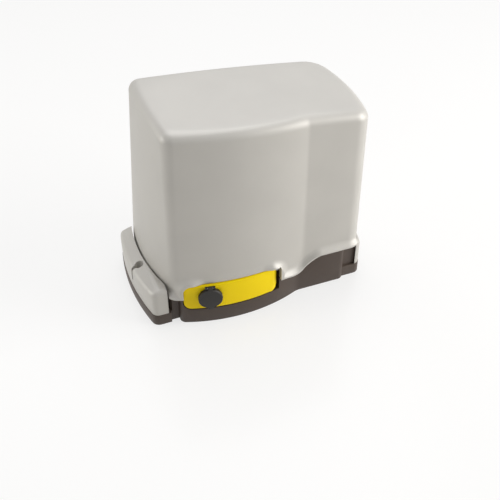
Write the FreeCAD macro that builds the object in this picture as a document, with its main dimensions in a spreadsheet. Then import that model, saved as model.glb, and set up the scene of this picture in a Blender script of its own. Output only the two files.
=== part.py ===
"""Sliding gate motor, modelled as a parametric FreeCAD document in millimetres.

Frame: X runs along the gate, the front with the release lever faces -Y, the pinion faces +Y
and Z is up. The origin is the centre of the four anchor slots, on the underside of the base.
"""
import FreeCAD, Part
import math
import os
import re
import Sketcher
from FreeCAD import Placement, Rotation, Vector

# ---------------------------------------------------------------- driving dimensions
DIMS = {
    # base and feet
    "foot_half_mid": 170.0,        # half length over the feet, at their widest
    "foot_half_front": 157.0,      # the same at the front corners
    "foot_half_back": 161.0,       # the same at the back corners
    "foot_widest_place": 5.0,      # Y where the feet are widest
    "foot_front": 87.0,            # front edge of the feet, towards -Y
    "foot_back": 82.0,             # back edge of the feet
    "foot_thick": 18.0,
    "foot_front_round": 11.0,
    "foot_back_round": 32.0,
    "floor_top": 10.0,
    "under_recess": 4.0,           # depth of the cored underside
    "under_rim": 9.0,              # width of the rim that touches the ground
    "under_rib": 5.0,              # thickness of the ribs in the cored underside
    "base_wall": 4.0,
    "step_back": 83.0,             # face between the feet and the front bulge
    # front bulge of the base
    "bulge_left": 121.0,
    "bulge_radius": 235.0,
    "bulge_apex": 109.0,
    "bulge_apex_left": 35.0,
    "bulge_flat": 91.0,
    "bulge_right": 131.0,
    "bulge_round": 9.0,
    "bulge_crease_round": 28.0,
    # seam between base and hood
    "seam_low": 47.0,              # height of the seam over the left part
    "seam_high": 64.0,             # height of the seam over the right part
    "seam_dip": 3.5,               # how far it dips before it climbs
    "seam_dip_place": 46.0,
    "seam_rise_start": 50.0,
    "seam_rise_end": 90.0,
    "seam_gap": 1.0,               # open joint between base and hood
    "seal_wide": 2.2,
    "seal_inset": 0.9,
    # hood: its plan at the seam (low) and at the top (high)
    "hood_height": 310.0,
    "hood_left_place": 120.0,      # where the height of the top is measured
    "top_fall_start": 0.04,        # slope of the top at its left end
    "top_fall_end": 0.145,         # slope of the top at its right end
    "top_length": 270.0,
    "hood_wall": 3.0,
    "hood_left_front_low": 129.0,
    "hood_left_front_high": 125.0,
    "hood_left_mid_low": 149.0,
    "hood_left_mid_high": 130.0,
    "hood_left_back_low": 141.0,
    "hood_left_back_high": 130.0,
    "hood_left_mid_place": 8.0,
    "hood_right_front_low": 150.0,
    "hood_right_front_high": 149.0,
    "hood_right_mid_low": 159.0,
    "hood_right_mid_high": 155.0,
    "hood_right_back_low": 145.0,
    "hood_right_back_high": 138.0,
    "hood_right_mid_place": 20.0,
    "hood_corner_low": 87.0,
    "hood_corner_high": 83.0,
    "hood_apex_low": 106.0,
    "hood_apex_high": 98.0,
    "hood_flat_low": 92.0,
    "hood_flat_high": 91.0,
    "hood_back_left_low": 79.0,
    "hood_back_left_high": 64.0,
    "hood_back_right_low": 78.0,
    "hood_back_right_high": 56.0,
    "crease_place": 62.0,
    "crease_round": 26.0,
    "hood_front_left_round": 15.0,
    "hood_front_right_round": 22.0,
    "hood_back_right_round": 36.0,
    "hood_back_left_round": 16.0,
    "hood_rim_round": 12.0,        # rounding between top and walls
    "skirt_proud": 3.6,            # how far the skirt stands out of the front wall
    "skirt_high": 12.0,
    "skirt_round": 3.0,            # rounding of its upper edge
    "skirt_left": 134.0,
    "skirt_right": 147.0,
    # foot covers
    "wing_wall": 2.5,
    "wing_gap": 1.6,               # between a foot cover and the hood wall
    "wing_lift": 0.25,             # between a foot cover and the foot
    "wing_edge_height": 52.0,      # top at its outer edge
    "wing_inner_height": 62.0,     # top at the hood wall
    "wing_round": 7.0,
    "wing_inner_left": 136.5,      # where its front face ends
    "wing_inner_right": 143.0,
    "notch_x_left": 157.5,         # well of the left cover's screw
    "notch_y_left": -18.0,
    "notch_radius_left": 6.5,
    "notch_x_right": 162.6,        # well of the right cover's screw, where it is widest
    "notch_y_right": 36.0,
    "notch_radius_right": 4.7,
    "notch_slot": 5.0,
    "notch_seat": 32.0,
    "notch_wall": 2.1,
    "screw_socket_radius": 4.2,
    "wing_screw_radius": 2.5,
    "wing_screw_head": 4.0,
    "thread_play": 0.05,
    # release lever and its pocket
    "lever_left": 116.0,
    "lever_bottom": 26.5,
    "lever_top": 70.0,
    "lever_round": 10.5,
    "lever_end_round": 15.0,
    "lever_thick": 7.0,
    "lever_proud": 0.6,
    "lever_gap": 1.2,
    "lever_edge": 2.2,
    "knuckle_radius": 9.8,
    "knuckle_sweep": 14.3,         # radius the turning knuckle needs
    "swing_room": 3.6,             # free width beside the lever's hinged end, for its full swing
    "pin_radius": 3.0,
    "pin_play": 0.06,
    "pocket_back": 71.5,
    "pocket_wall": 3.5,
    "pocket_low": 20.0,
    "pocket_high": 74.5,
    "cam_base": 10.4,
    "cam_hub": 7.0,
    "cam_low": 56.0,
    "cam_high": 68.0,
    "rod_travel": 6.0,
    "rod_radius": 4.0,
    "rod_play": 0.08,
    "rod_tip_gap": 0.6,
    # lock in the lever, and its cap
    "lock_left": 81.0,
    "lock_height": 49.0,
    "lock_sleeve_radius": 11.0,
    "lock_barrel_radius": 8.4,
    "lock_play": 0.08,
    "lock_depth": 22.0,
    "lock_boss_radius": 12.5,
    "lock_boss_depth": 19.5,
    "lock_flange_radius": 12.6,
    "tongue_reach": 20.5,
    "tongue_thick": 3.0,
    "tongue_half": 4.0,
    "cap_radius": 17.0,
    "cap_rise": 6.6,               # top face of the cap above the lever
    "cap_stand": 0.5,
    "cap_wall": 2.0,
    "cap_bevel": 1.4,
    "cap_hinge_rise": 19.0,        # height of the cap's hinge pin over the lock's axis
    "cap_pin_stand": 3.2,
    "cap_pin_radius": 1.1,
    "cap_tab_half": 3.5,
    "cap_lug_radius": 2.5,
    "cap_lug_wide": 3.2,
    # gear train
    "output_place": 10.0,          # X of the output axis
    "output_height": 62.0,
    "wheel_module": 2.5,
    "wheel_teeth": 32,
    "worm_pitch_radius": 10.0,
    "wheel_middle": 10.0,          # Y of the worm's axis and of the wheel's middle plane
    "wheel_half": 9.0,
    "mesh_backlash": 0.5,
    "running_play": 0.06,
    "shaft_radius": 12.5,
    "shaft_bore": 4.6,
    "clutch_small": 23.6,          # small radius of the clutch cone
    "clutch_slope": 0.364,         # growth of its radius per length
    "clutch_face_gap": 0.35,
    "clutch_front": 12.0,
    "clutch_back": 26.0,
    "clutch_pin_place": 22.0,
    "clutch_pin_radius": 3.0,
    "pinion_module": 4.0,
    "pinion_teeth": 16,
    "pinion_wide": 28.0,
    "pinion_start": 88.0,
    "worm_low": 44.0,
    "worm_high": 80.0,
    "rotor_shaft_radius": 6.0,
    # gearbox
    "gearbox_left": 50.0,          # from the output axis to its left wall
    "gearbox_right": 72.0,
    "gearbox_front": 12.0,
    "gearbox_back": 50.0,
    "gearbox_low": 14.0,
    "gearbox_high": 112.0,
    "gearbox_bore": 44.0,
    "cover_plate_thick": 8.0,
    "nose_radius": 34.0,
    "nose_end": 84.0,
    "nose_gap": 2.5,
    "back_bearing_radius": 26.0,
    "back_bearing_start": 54.0,
    "back_bearing_end": 69.0,
    "front_bearing_radius": 23.5,
    "front_bearing_start": 16.0,
    "front_bearing_end": 4.0,
    "worm_bearing_radius": 16.0,
    "worm_bearing_wide": 10.0,
    # motor
    "motor_radius": 43.0,
    "motor_wall": 4.0,
    "motor_fin": 3.0,
    "motor_fin_count": 24,
    "motor_low": 118.0,
    "motor_high": 230.0,
    "motor_cap_thick": 16.0,
    "rotor_radius": 24.0,
    "rotor_gap": 0.6,
    "stator_low": 137.0,
    "stator_high": 207.0,
    "encoder_cover_radius": 28.0,
    "encoder_cover_high": 260.0,
    # control board and its carrier
    "board_left": 103.0,
    "board_right": 9.0,
    "board_low": 90.0,
    "board_high": 236.0,
    "board_thick": 1.6,
    "board_front": 64.0,
    "carrier_front": 58.0,
    "carrier_thick": 3.0,
    # anchors and levelling screws
    "anchor_half_length": 128.0,
    "anchor_half_width": 50.0,
    "anchor_radius": 5.5,
    "anchor_slot": 16.0,
    "level_half_length": 163.0,
    "level_front": 33.0,
    "level_back": 28.0,
    "level_radius": 4.0,
    # cable entry
    "cable_left": 88.0,
    "cable_back": 56.0,
    "cable_half_length": 22.0,
    "cable_half_width": 11.0,
    # limit switch
    "limit_height": 131.0,
    "limit_pivot_back": 58.0,
    "limit_half": 14.0,
    "limit_slot_half": 15.5,
    "limit_slot_high": 152.0,
    "limit_reach": 54.0,
    "limit_shaft_radius": 4.0,
}

doc = FreeCAD.newDocument("gate_motor")
sheet = doc.addObject("Spreadsheet::Sheet", "dims")
for row, (alias, value) in enumerate(DIMS.items(), start=1):
    sheet.set(f"A{row}", alias)
    sheet.set(f"B{row}", str(value))
    sheet.setAlias(f"B{row}", alias)
probe = doc.addObject("App::FeaturePython", "probe")
probe.addProperty("App::PropertyFloat", "reading")
doc.recompute()

WORD = re.compile(r"[a-z][a-z_]+")
NODES = {}


# ---------------------------------------------------------------- small helpers
def formula(text):
    """An expression for setExpression: each driving dimension in it is tied to its cell."""
    return WORD.sub(lambda m: "dims." + m.group() if m.group() in DIMS else m.group(), str(text))


def val(text):
    """The number such an expression comes to."""
    probe.setExpression("reading", formula(text))
    probe.recompute()
    return float(probe.reading)


TURN = {"z": Rotation(), "y": Rotation(Vector(1, 0, 0), -90), "x": Rotation(Vector(0, 1, 0), 90)}


def place(thing, spot, axis="z"):
    """Stands an object at a spot given by three expressions, its own Z along the axis."""
    thing.Placement = Placement(Vector(), TURN[axis])
    for letter, text in zip("xyz", spot):
        thing.setExpression(f"Placement.Base.{letter}", formula(text))
    return thing


def spot_on(axis, across, along):
    """The three coordinates of a point, from the two across an axis and the one along it."""
    first, second = across
    if axis == "x":
        return (along, first, second)
    if axis == "y":
        return (first, along, second)
    return (first, second, along)


def block(name, x, y, z):
    """A box between two expressions along each axis."""
    box = doc.addObject("Part::Box", name)
    for size, (start, end) in zip(("Length", "Width", "Height"), (x, y, z)):
        box.setExpression(size, formula(f"({end}) - ({start})"))
    return place(box, (x[0], y[0], z[0]))


def rod(name, radius, axis, across, along):
    """A cylinder along an axis."""
    solid = doc.addObject("Part::Cylinder", name)
    solid.setExpression("Radius", formula(radius))
    solid.setExpression("Height", formula(f"({along[1]}) - ({along[0]})"))
    return place(solid, spot_on(axis, across, along[0]), axis)


def cone(name, radii, axis, across, along):
    """A cone frustum along an axis."""
    solid = doc.addObject("Part::Cone", name)
    solid.setExpression("Radius1", formula(radii[0]))
    solid.setExpression("Radius2", formula(radii[1]))
    solid.setExpression("Height", formula(f"({along[1]}) - ({along[0]})"))
    return place(solid, spot_on(axis, across, along[0]), axis)


def union(name, *pieces):
    joined = doc.addObject("Part::MultiFuse", name)
    joined.Shapes = list(pieces)
    return joined


def minus(name, base, *tools):
    cut = doc.addObject("Part::Cut", name)
    cut.Base = base
    cut.Tool = tools[0] if len(tools) == 1 else union(name + "_tools", *tools)
    return cut


def overlap(name, base, tool):
    both = doc.addObject("Part::Common", name)
    both.Base = base
    both.Tool = tool
    return both


def group(name, *pieces):
    """Separate solids that share one node."""
    bundle = doc.addObject("Part::Compound", name)
    bundle.Links = list(pieces)
    return bundle


def computed(name, shape):
    """A shape worked out from the sheet's numbers, where no primitive or sketch fits."""
    feature = doc.addObject("Part::Feature", name)
    feature.Shape = shape
    return feature


def turned(name, profile, axis, across, along="0"):
    """A lathe part: a sketched half section of (radius, length) points, revolved."""
    body = doc.addObject("PartDesign::Body", name)
    sketch = body.newObject("Sketcher::SketchObject", name + "_section")
    plane = [item for item in body.Origin.OriginFeatures if item.Role == "XZ_Plane"][0]
    sketch.AttachmentSupport = [(plane, "")]
    sketch.MapMode = "FlatFace"
    points = [(val(radius), val(length)) for radius, length in profile]
    count = len(points)
    for index in range(count):
        ahead = points[(index + 1) % count]
        sketch.addGeometry(Part.LineSegment(Vector(*points[index], 0), Vector(*ahead, 0)))
    for index in range(count):
        sketch.addConstraint(Sketcher.Constraint("Coincident", index, 2, (index + 1) % count, 1))
    for index, (radius, length) in enumerate(profile):
        for kind, text, number in (("X", radius, points[index][0]), ("Y", length, points[index][1])):
            if text == "0":
                line = -2 if kind == "X" else -1
                sketch.addConstraint(Sketcher.Constraint("PointOnObject", index, 1, line))
                continue
            made = sketch.addConstraint(
                Sketcher.Constraint("Distance" + kind, -1, 1, index, 1, number))
            sketch.renameConstraint(made, f"corner_{kind}{index}")
            sketch.setExpression(f"Constraints.corner_{kind}{index}", formula(text))
    lathe = body.newObject("PartDesign::Revolution", name + "_turn")
    lathe.Profile = sketch
    lathe.ReferenceAxis = (sketch, ["V_Axis"])
    lathe.Angle = 360
    return place(body, spot_on(axis, across, along), axis)


def ring(name, outer, inner, axis, across, along):
    """A plain turned ring."""
    profile = [(inner, along[0]), (outer, along[0]), (outer, along[1]), (inner, along[1])]
    return turned(name, profile, axis, across)


def node(thing, name=None):
    """Marks an object as one of the part's named pieces."""
    NODES[name or thing.Label] = thing
    return thing


def line_to(start, end):
    return Part.LineSegment(Vector(*start), Vector(*end)).toShape()


def arc_to(start, middle, end):
    return Part.Arc(Vector(*start), Vector(*middle), Vector(*end)).toShape()


def prism(wire, direction):
    return Part.Face(wire).extrude(Vector(*direction))


def rounded(shape, radius, test):
    """Rounds every edge whose middle point and direction pass a test."""
    chosen = []
    for edge in shape.Edges:
        first, last = edge.ParameterRange
        middle = edge.valueAt((first + last) / 2)
        tangent = edge.tangentAt((first + last) / 2)
        if test(middle, tangent, edge):
            chosen.append(edge)
    return shape.makeFillet(radius, chosen) if chosen else shape


def flat_box(x0, x1, y0, y1, z0, z1):
    return Part.makeBox(x1 - x0, y1 - y0, z1 - z0, Vector(x0, y0, z0))


def post(radius, x, y, z0, z1):
    return Part.makeCylinder(radius, z1 - z0, Vector(x, y, z0))


# ---------------------------------------------------------------- the seam and the plans
def seam(x):
    """Height of the joint between base and hood."""
    start, end = val("seam_rise_start"), val("seam_rise_end")
    step = min(1.0, max(0.0, (x - start) / (end - start)))
    rise = (val("seam_high") - val("seam_low")) * step * step * (3 - 2 * step)
    dip = val("seam_dip") * math.exp(-((x - val("seam_dip_place")) / 15.0) ** 2)
    return val("seam_low") + rise - dip


def seam_curve():
    """Smooth curve of the seam across the whole length, at Y = -200."""
    places = [-240, -160, -80, -20, 0, 12, 24, 34, 42, 50, 57, 64, 72, 80, 88, 98, 120, 170, 240]
    heights = [(place_x, seam(place_x)) for place_x in places]
    curve = Part.BSplineCurve()
    curve.interpolate([Vector(x, -200, z) for x, z in heights])
    return curve.toShape(), heights


SEAM_EDGE, SEAM_POINTS = seam_curve()


def below_seam(shift):
    """Everything under the seam moved by shift, as one solid."""
    edge = SEAM_EDGE.copy()
    edge.translate(Vector(0, 0, shift))
    first = (SEAM_POINTS[0][0], -200, SEAM_POINTS[0][1] + shift)
    last = (SEAM_POINTS[-1][0], -200, SEAM_POINTS[-1][1] + shift)
    low_first = (first[0], -200, -40)
    low_last = (last[0], -200, -40)
    wire = Part.Wire([edge, line_to(last, low_last), line_to(low_last, low_first),
                      line_to(low_first, first)])
    return prism(wire, (0, 400, 0))


def hood_plan(level, grow):
    """Sharp-cornered plan of the hood, grown outwards, as an edge loop at height 0."""
    left_front = -val(f"hood_left_front_{level}") - grow
    left_mid = -val(f"hood_left_mid_{level}") - grow
    left_back = -val(f"hood_left_back_{level}") - grow
    right_front = val(f"hood_right_front_{level}") + grow
    right_mid = val(f"hood_right_mid_{level}") + grow
    right_back = val(f"hood_right_back_{level}") + grow
    corner = -val(f"hood_corner_{level}") - grow
    apex = -val(f"hood_apex_{level}") - grow
    flat = -val(f"hood_flat_{level}") - grow
    back_left = val(f"hood_back_left_{level}") + grow
    back_right = val(f"hood_back_right_{level}") + grow
    crease = val("crease_place")
    apex_x = -val("bulge_apex_left")
    points = {
        "front_left": (left_front, corner, 0),
        "crease": (crease, flat, 0),
        "front_right": (right_front, flat, 0),
        "back_right": (right_back, back_right, 0),
        "back_left": (left_back, back_left, 0),
    }
    return [
        arc_to(points["front_left"], (apex_x, apex, 0), points["crease"]),
        line_to(points["crease"], points["front_right"]),
        arc_to(points["front_right"], (right_mid, -val("hood_right_mid_place"), 0),
               points["back_right"]),
        line_to(points["back_right"], points["back_left"]),
        arc_to(points["back_left"], (left_mid, val("hood_left_mid_place"), 0),
               points["front_left"]),
    ], points


def hood_plan_wire(level, grow, height):
    """The hood's plan with its five corners rounded, as a wire at a height."""
    edges, corners = hood_plan(level, grow)
    solid = prism(Part.Wire(edges), (0, 0, 30))
    radii = {
        "front_left": val("hood_front_left_round") + grow,
        "crease": val("crease_round") - grow,
        "front_right": val("hood_front_right_round") + grow,
        "back_right": val("hood_back_right_round") + grow,
        "back_left": val("hood_back_left_round") + grow,
    }
    for name, radius in radii.items():
        x, y, z = corners[name]
        solid = rounded(solid, radius, lambda m, t, e: abs(t.z) > 0.9
                        and math.hypot(m.x - x, m.y - y) < 0.5)
    foot = min(solid.Faces, key=lambda face: face.CenterOfMass.z)
    wire = foot.OuterWire
    wire.translate(Vector(0, 0, height))
    return wire


def hood_block(grow):
    """The hood as a full block, its walls moved outwards by grow, from under the seam up."""
    low_z, high_z = val("seam_low"), val("hood_height") + 10
    block_shape = Part.makeLoft([hood_plan_wire("low", grow, low_z),
                                 hood_plan_wire("high", grow, high_z)], True, True)
    length = val("top_length")
    fall_start, fall_end = val("top_fall_start"), val("top_fall_end")

    def top(x):
        along = x + val("hood_left_place")
        return (val("hood_height") + grow - fall_start * along
                - (fall_end - fall_start) / (2 * length) * along * along)

    left, right = (-220, -200, top(-220)), (220, -200, top(220))
    arc = arc_to(left, (0, -200, top(0)), right)
    wire = Part.Wire([arc, line_to(right, (220, -200, 420)), line_to((220, -200, 420),
                      (-220, -200, 420)), line_to((-220, -200, 420), left)])
    block_shape = block_shape.cut(prism(wire, (0, 400, 0)))
    foot = hood_plan_prism(grow, 5, low_z)
    body = rounded(block_shape, val("hood_rim_round") + grow,
                   lambda middle, tangent, edge: middle.z > 250 and abs(tangent.z) < 0.6)
    return body.fuse(foot)


def hood_plan_prism(grow, low, high):
    """The hood's plan at the seam as an upright prism."""
    return prism(hood_plan_wire("low", grow, low), (0, 0, high - low))


def foot_plan_prism(grow, low, high):
    """The plan over both feet as an upright prism."""
    half_front = val("foot_half_front") + grow
    half_mid = val("foot_half_mid") + grow
    half_back = val("foot_half_back") + grow
    front, back = -val("foot_front") - grow, val("foot_back") + grow
    middle = val("foot_widest_place")
    wire = Part.Wire([
        line_to((-half_front, front, low), (half_front, front, low)),
        arc_to((half_front, front, low), (half_mid, middle, low), (half_back, back, low)),
        line_to((half_back, back, low), (-half_back, back, low)),
        arc_to((-half_back, back, low), (-half_mid, middle, low), (-half_front, front, low)),
    ])
    solid = prism(wire, (0, 0, high - low))
    upright = lambda middle_point, tangent, edge: abs(tangent.z) > 0.9
    solid = rounded(solid, val("foot_front_round") + grow,
                    lambda m, t, e: upright(m, t, e) and m.y < 0)
    return rounded(solid, val("foot_back_round") + grow,
                   lambda m, t, e: upright(m, t, e) and m.y > 40 and abs(m.x) > 150)


def bulge_prism(inset, low, high):
    """The base's front, from the step at the left foot to the one at the right."""
    radius = val("bulge_radius")
    middle_y = radius - val("bulge_apex")
    apex_x = -val("bulge_apex_left")
    left, right = -val("bulge_left") + inset, val("bulge_right") - inset
    flat = -val("bulge_flat") + inset
    reach = radius - inset
    left_y = middle_y - math.sqrt(reach ** 2 - (left - apex_x) ** 2)
    crease_x = apex_x + math.sqrt(reach ** 2 - (middle_y - flat) ** 2)
    wire = Part.Wire([
        arc_to((left, left_y, low), (apex_x, middle_y - reach, low), (crease_x, flat, low)),
        line_to((crease_x, flat, low), (right, flat, low)),
        line_to((right, flat, low), (right, -40, low)),
        line_to((right, -40, low), (left, -40, low)),
        line_to((left, -40, low), (left, left_y, low)),
    ])
    solid = prism(wire, (0, 0, high - low))
    solid = rounded(solid, val("bulge_round") - min(inset, 6),
                    lambda m, t, e: abs(t.z) > 0.9 and m.y < -60 and
                    (abs(m.x - left) < 0.1 or abs(m.x - right) < 0.1))
    return rounded(solid, val("bulge_crease_round") + inset,
                   lambda m, t, e: abs(t.z) > 0.9 and abs(m.x - crease_x) < 0.1)


# ---------------------------------------------------------------- the lever's own geometry
PIVOT_Y = ("(bulge_radius - bulge_apex - sqrt((bulge_radius + lever_proud - knuckle_radius)^2"
           " - (output_place + bulge_apex_left)^2))")
PIVOT = ("output_place", PIVOT_Y)
LEVER_RIGHT = "(output_place + knuckle_radius)"


def lever_outline(grow, y0, y1):
    """The lever's front outline, grown outwards, as a prism along Y."""
    left, right = -val("lever_left") - grow, val(LEVER_RIGHT) + grow
    low, high = val("lever_bottom") - grow, val("lever_top") + grow
    solid = flat_box(left, right, y0, y1, low, high)
    solid = rounded(solid, val("lever_round") + grow,
                    lambda m, t, e: abs(t.y) > 0.9 and m.x < 0)
    return rounded(solid, val("lever_end_round") + grow,
                   lambda m, t, e: abs(t.y) > 0.9 and m.x > 0)


def bulge_column(radius):
    """A cylinder about the axis of the front bulge."""
    return post(radius, -val("bulge_apex_left"), val("bulge_radius - bulge_apex"), 0, 120)


def lock_frame():
    """Where the lock's axis meets the lever's face, and the outward direction there."""
    radius = val("bulge_radius + lever_proud")
    middle = Vector(-val("bulge_apex_left"), val("bulge_radius - bulge_apex"), 0)
    across = -val("lock_left") - middle.x
    down = -math.sqrt(radius ** 2 - across ** 2)
    outward = Vector(across, down, 0).normalize()
    spot = middle + outward * radius
    spot.z = val("lock_height")
    return spot, outward


LOCK_SPOT, LOCK_OUT = lock_frame()
LOCK_SIDE = Vector(LOCK_OUT.y, -LOCK_OUT.x, 0)


def lock_post(radius, start, end):
    """A cylinder on the lock's axis between two heights over the lever's face."""
    return Part.makeCylinder(radius, end - start, LOCK_SPOT + LOCK_OUT * start, LOCK_OUT)


def lock_box(side0, side1, out0, out1, z0, z1):
    """A box in the lock's own frame: sideways, outwards, upwards from its axis."""
    solid = flat_box(side0, side1, -out1, -out0, z0, z1)
    angle = math.degrees(math.atan2(LOCK_OUT.x, -LOCK_OUT.y))
    solid.Placement = Placement(LOCK_SPOT, Rotation(Vector(0, 0, 1), angle)).multiply(
        solid.Placement)
    return solid


# ---------------------------------------------------------------- base
def base_shape():
    """The base: feet, floor, upstanding walls, lever pocket, underside ribs."""
    floor, foot = val("floor_top"), val("foot_thick")
    wall = val("base_wall")
    rim = below_seam(-val("seam_gap"))
    step = -val("step_back")
    feet = foot_plan_prism(0, 0, foot)
    hull = hood_plan_prism(0, 0, 100).cut(flat_box(-140, 155, -140, step, -1, 101))
    hull = hull.fuse(bulge_prism(0, 0, 100)).common(rim)
    feet = feet.cut(flat_box(-133, val("bulge_right") - 3, -140, step, -1, 101))
    solid = feet.fuse(hull)
    hollow = hood_plan_prism(-wall, floor, 100)
    hollow = hollow.cut(flat_box(-140, 155, -140, step + wall, -1, 101))
    hollow = hollow.fuse(bulge_prism(wall, floor, 100))
    solid = solid.cut(hollow)
    # the housing of the lever's pocket
    back, pocket_wall = -val("pocket_back"), val("pocket_wall")
    housing = flat_box(-val("lever_left") - 4.6, 31, -130, back + pocket_wall,
                       val("pocket_low"), val("pocket_high"))
    below = housing.common(bulge_prism(1, 0, 100)).common(rim)
    above = housing.common(hood_plan_prism(-5, 0, 100))
    solid = solid.fuse(below).fuse(above)
    # pads under the gearbox
    for x in (-28, 70):
        for y in (-2, 40):
            solid = solid.fuse(post(9, x, y, floor - 1, val("gearbox_low")))
    # socket of the left foot cover's screw; the right one goes straight into the foot
    solid = solid.fuse(post(val("screw_socket_radius"), -val("notch_x_left"),
                            val("notch_y_left"), 5, val("notch_seat") - 3.5))
    return solid


def base_cuts():
    """Everything taken out of the base."""
    foot, floor = val("foot_thick"), val("floor_top")
    cuts = []
    gap = val("lever_gap")
    pivot_x, pivot_y = val(PIVOT[0]), val(PIVOT[1])
    low, high = val("lever_bottom") - gap, val("lever_top") + gap
    shallow = lever_outline(gap, -130, -60).cut(
        bulge_column(val("bulge_radius + lever_proud - lever_thick") - 1.6))
    cuts.append(shallow)
    cuts.append(post(val("knuckle_sweep"), pivot_x, pivot_y, low, high))
    cuts.append(post(val("cam_base + rod_travel") + 1.3, pivot_x, pivot_y,
                     val("cam_low") - 1, val("cam_high") + 1))
    # deep part for the lock and the undercut its tongue turns into
    cuts.append(flat_box(-93.5, -57, -130, -val("pocket_back"), low + 1, high - 0.5))
    cuts.append(lock_post(val("tongue_reach") + 1.5, -val("lock_depth + tongue_thick") - 2,
                          -val("lock_depth") + 1.2))
    # pivot pin, release rod
    cuts.append(post(val("pin_radius"), pivot_x, pivot_y, val("pocket_low") + 1,
                     val("pocket_high") + 1))
    cuts.append(Part.makeCylinder(val("rod_radius + rod_play"), 60,
                                  Vector(val("output_place"), -90, val("output_height")),
                                  Vector(0, 1, 0)))
    # opening at the back for the gearbox nose
    nose = val("nose_radius + nose_gap")
    cuts.append(Part.makeCylinder(nose, 60, Vector(val("output_place"), 60, val("output_height")),
                                  Vector(0, 1, 0)))
    # anchor slots, levelling screws, foot cover screws
    for sx in (-1, 1):
        for sy in (-1, 1):
            x, y = sx * val("anchor_half_length"), sy * val("anchor_half_width")
            half = val("anchor_slot / 2 - anchor_radius")
            radius = val("anchor_radius")
            cuts.append(flat_box(x - half, x + half, y - radius, y + radius, -1, foot + 1))
            cuts.append(post(radius, x - half, y, -1, foot + 1))
            cuts.append(post(radius, x + half, y, -1, foot + 1))
        for y in (-val("level_front"), val("level_back")):
            cuts.append(post(val("level_radius"), sx * val("level_half_length"), y, -1, foot + 1))
    for x, y in (("-notch_x_left", "notch_y_left"), ("notch_x_right", "notch_y_right")):
        cuts.append(post(val("wing_screw_radius + thread_play"), val(x), val(y), 12, 60))
    # cable entry
    x, y = -val("cable_left"), val("cable_back")
    length, width = val("cable_half_length"), val("cable_half_width")
    entry = flat_box(x - length, x + length, y - width, y + width, -1, floor + 1)
    cuts.append(rounded(entry, 8, lambda m, t, e: abs(t.z) > 0.9))
    # screws that hold the gearbox, and those of the carrier, clamp and transformer
    for sx in (-28, 70):
        for sy in (-2, 40):
            cuts.append(post(3, sx, sy, -1, 20))
            cuts.append(post(6.5, sx, sy, -1, 6))
    return cuts


def underside_shape():
    """The cored pockets of the underside: an inset plan less its ribs and pads."""
    deep = val("under_recess")
    core = foot_plan_prism(-val("under_rim"), -1, deep)
    keep = []
    rib = val("under_rib") / 2
    for x in (-118, -60, -4, 46, 108):
        keep.append(flat_box(x - rib, x + rib, -100, 100, -2, deep + 1))
    for y in (-62, -20, 30):
        keep.append(flat_box(-180, 180, y - rib, y + rib, -2, deep + 1))
    for sx in (-1, 1):
        for sy in (-1, 1):
            x, y = sx * val("anchor_half_length"), sy * val("anchor_half_width")
            keep.append(flat_box(x - 17, x + 17, y - 14, y + 14, -2, deep + 1))
        for y in (-val("level_front"), val("level_back")):
            keep.append(post(9, sx * val("level_half_length"), y, -2, deep + 1))
    keep.append(flat_box(-116, -60, 39, 73, -2, deep + 1))
    for x in (-28, 70):
        for y in (-2, 40):
            keep.append(post(11, x, y, -2, deep + 1))
    return core.cut(keep[0].multiFuse(keep[1:]))


base_body = computed("base_body", base_shape())
openings_list = base_cuts()
base_openings = computed("base_openings", openings_list[0].multiFuse(openings_list[1:]))
base_cored = computed("base_cored", underside_shape())
base = node(minus("base", base_body, base_openings, base_cored))


def seal_shape():
    """The rubber cord between base and hood, along the base's rim."""
    wall = val("base_wall")
    step = -val("step_back")

    def plan(inset):
        solid = hood_plan_prism(-inset, 20, 100).cut(
            flat_box(-140, 155, -140, step + inset, 0, 101))
        return solid.fuse(bulge_prism(inset, 20, 100))

    inset = val("seal_inset")
    cord = plan(inset).cut(plan(inset + val("seal_wide")))
    gap = val("seam_gap")
    cord = cord.common(below_seam(-gap * 0.15)).cut(below_seam(-gap))
    cord = cord.cut(lever_outline(val("lever_gap") + 1.5, -130, -60))
    end = -val("lever_left") - 5
    cord = cord.cut(flat_box(end, end + 5, -90, -60, 20, 80))
    nose = Part.makeCylinder(val("nose_radius + nose_gap") + 0.5, 60,
                             Vector(val("output_place"), 60, val("output_height")),
                             Vector(0, 1, 0))
    return cord.cut(nose)


node(computed("hood_seal", seal_shape()))


# ---------------------------------------------------------------- hood
def skirt_shape():
    """The band standing out of the hood's front wall, which follows the seam."""
    proud, high = val("skirt_proud"), val("skirt_high")
    band = hood_plan_prism(proud, 20, 110).cut(hood_plan_prism(-1.2, 15, 115))
    band = band.common(flat_box(-val("skirt_left"), val("skirt_right"), -130, -70, 15, 115))
    band = band.common(below_seam(high)).cut(below_seam(0))

    def is_top_edge(middle, tangent, edge):
        above = middle.z - seam(middle.x)
        return above > high - 1.5 and abs(tangent.x) > 0.5
    outer = [edge for edge in band.Edges if is_top_edge(
        edge.valueAt(sum(edge.ParameterRange) / 2), edge.tangentAt(sum(edge.ParameterRange) / 2),
        edge)]
    limit = hood_plan_prism(proud - 1.5, 15, 115)
    outer = [edge for edge in outer if not limit.isInside(
        edge.valueAt(sum(edge.ParameterRange) / 2), 0.01, True)]
    return band.makeFillet(val("skirt_round"), outer)


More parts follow.
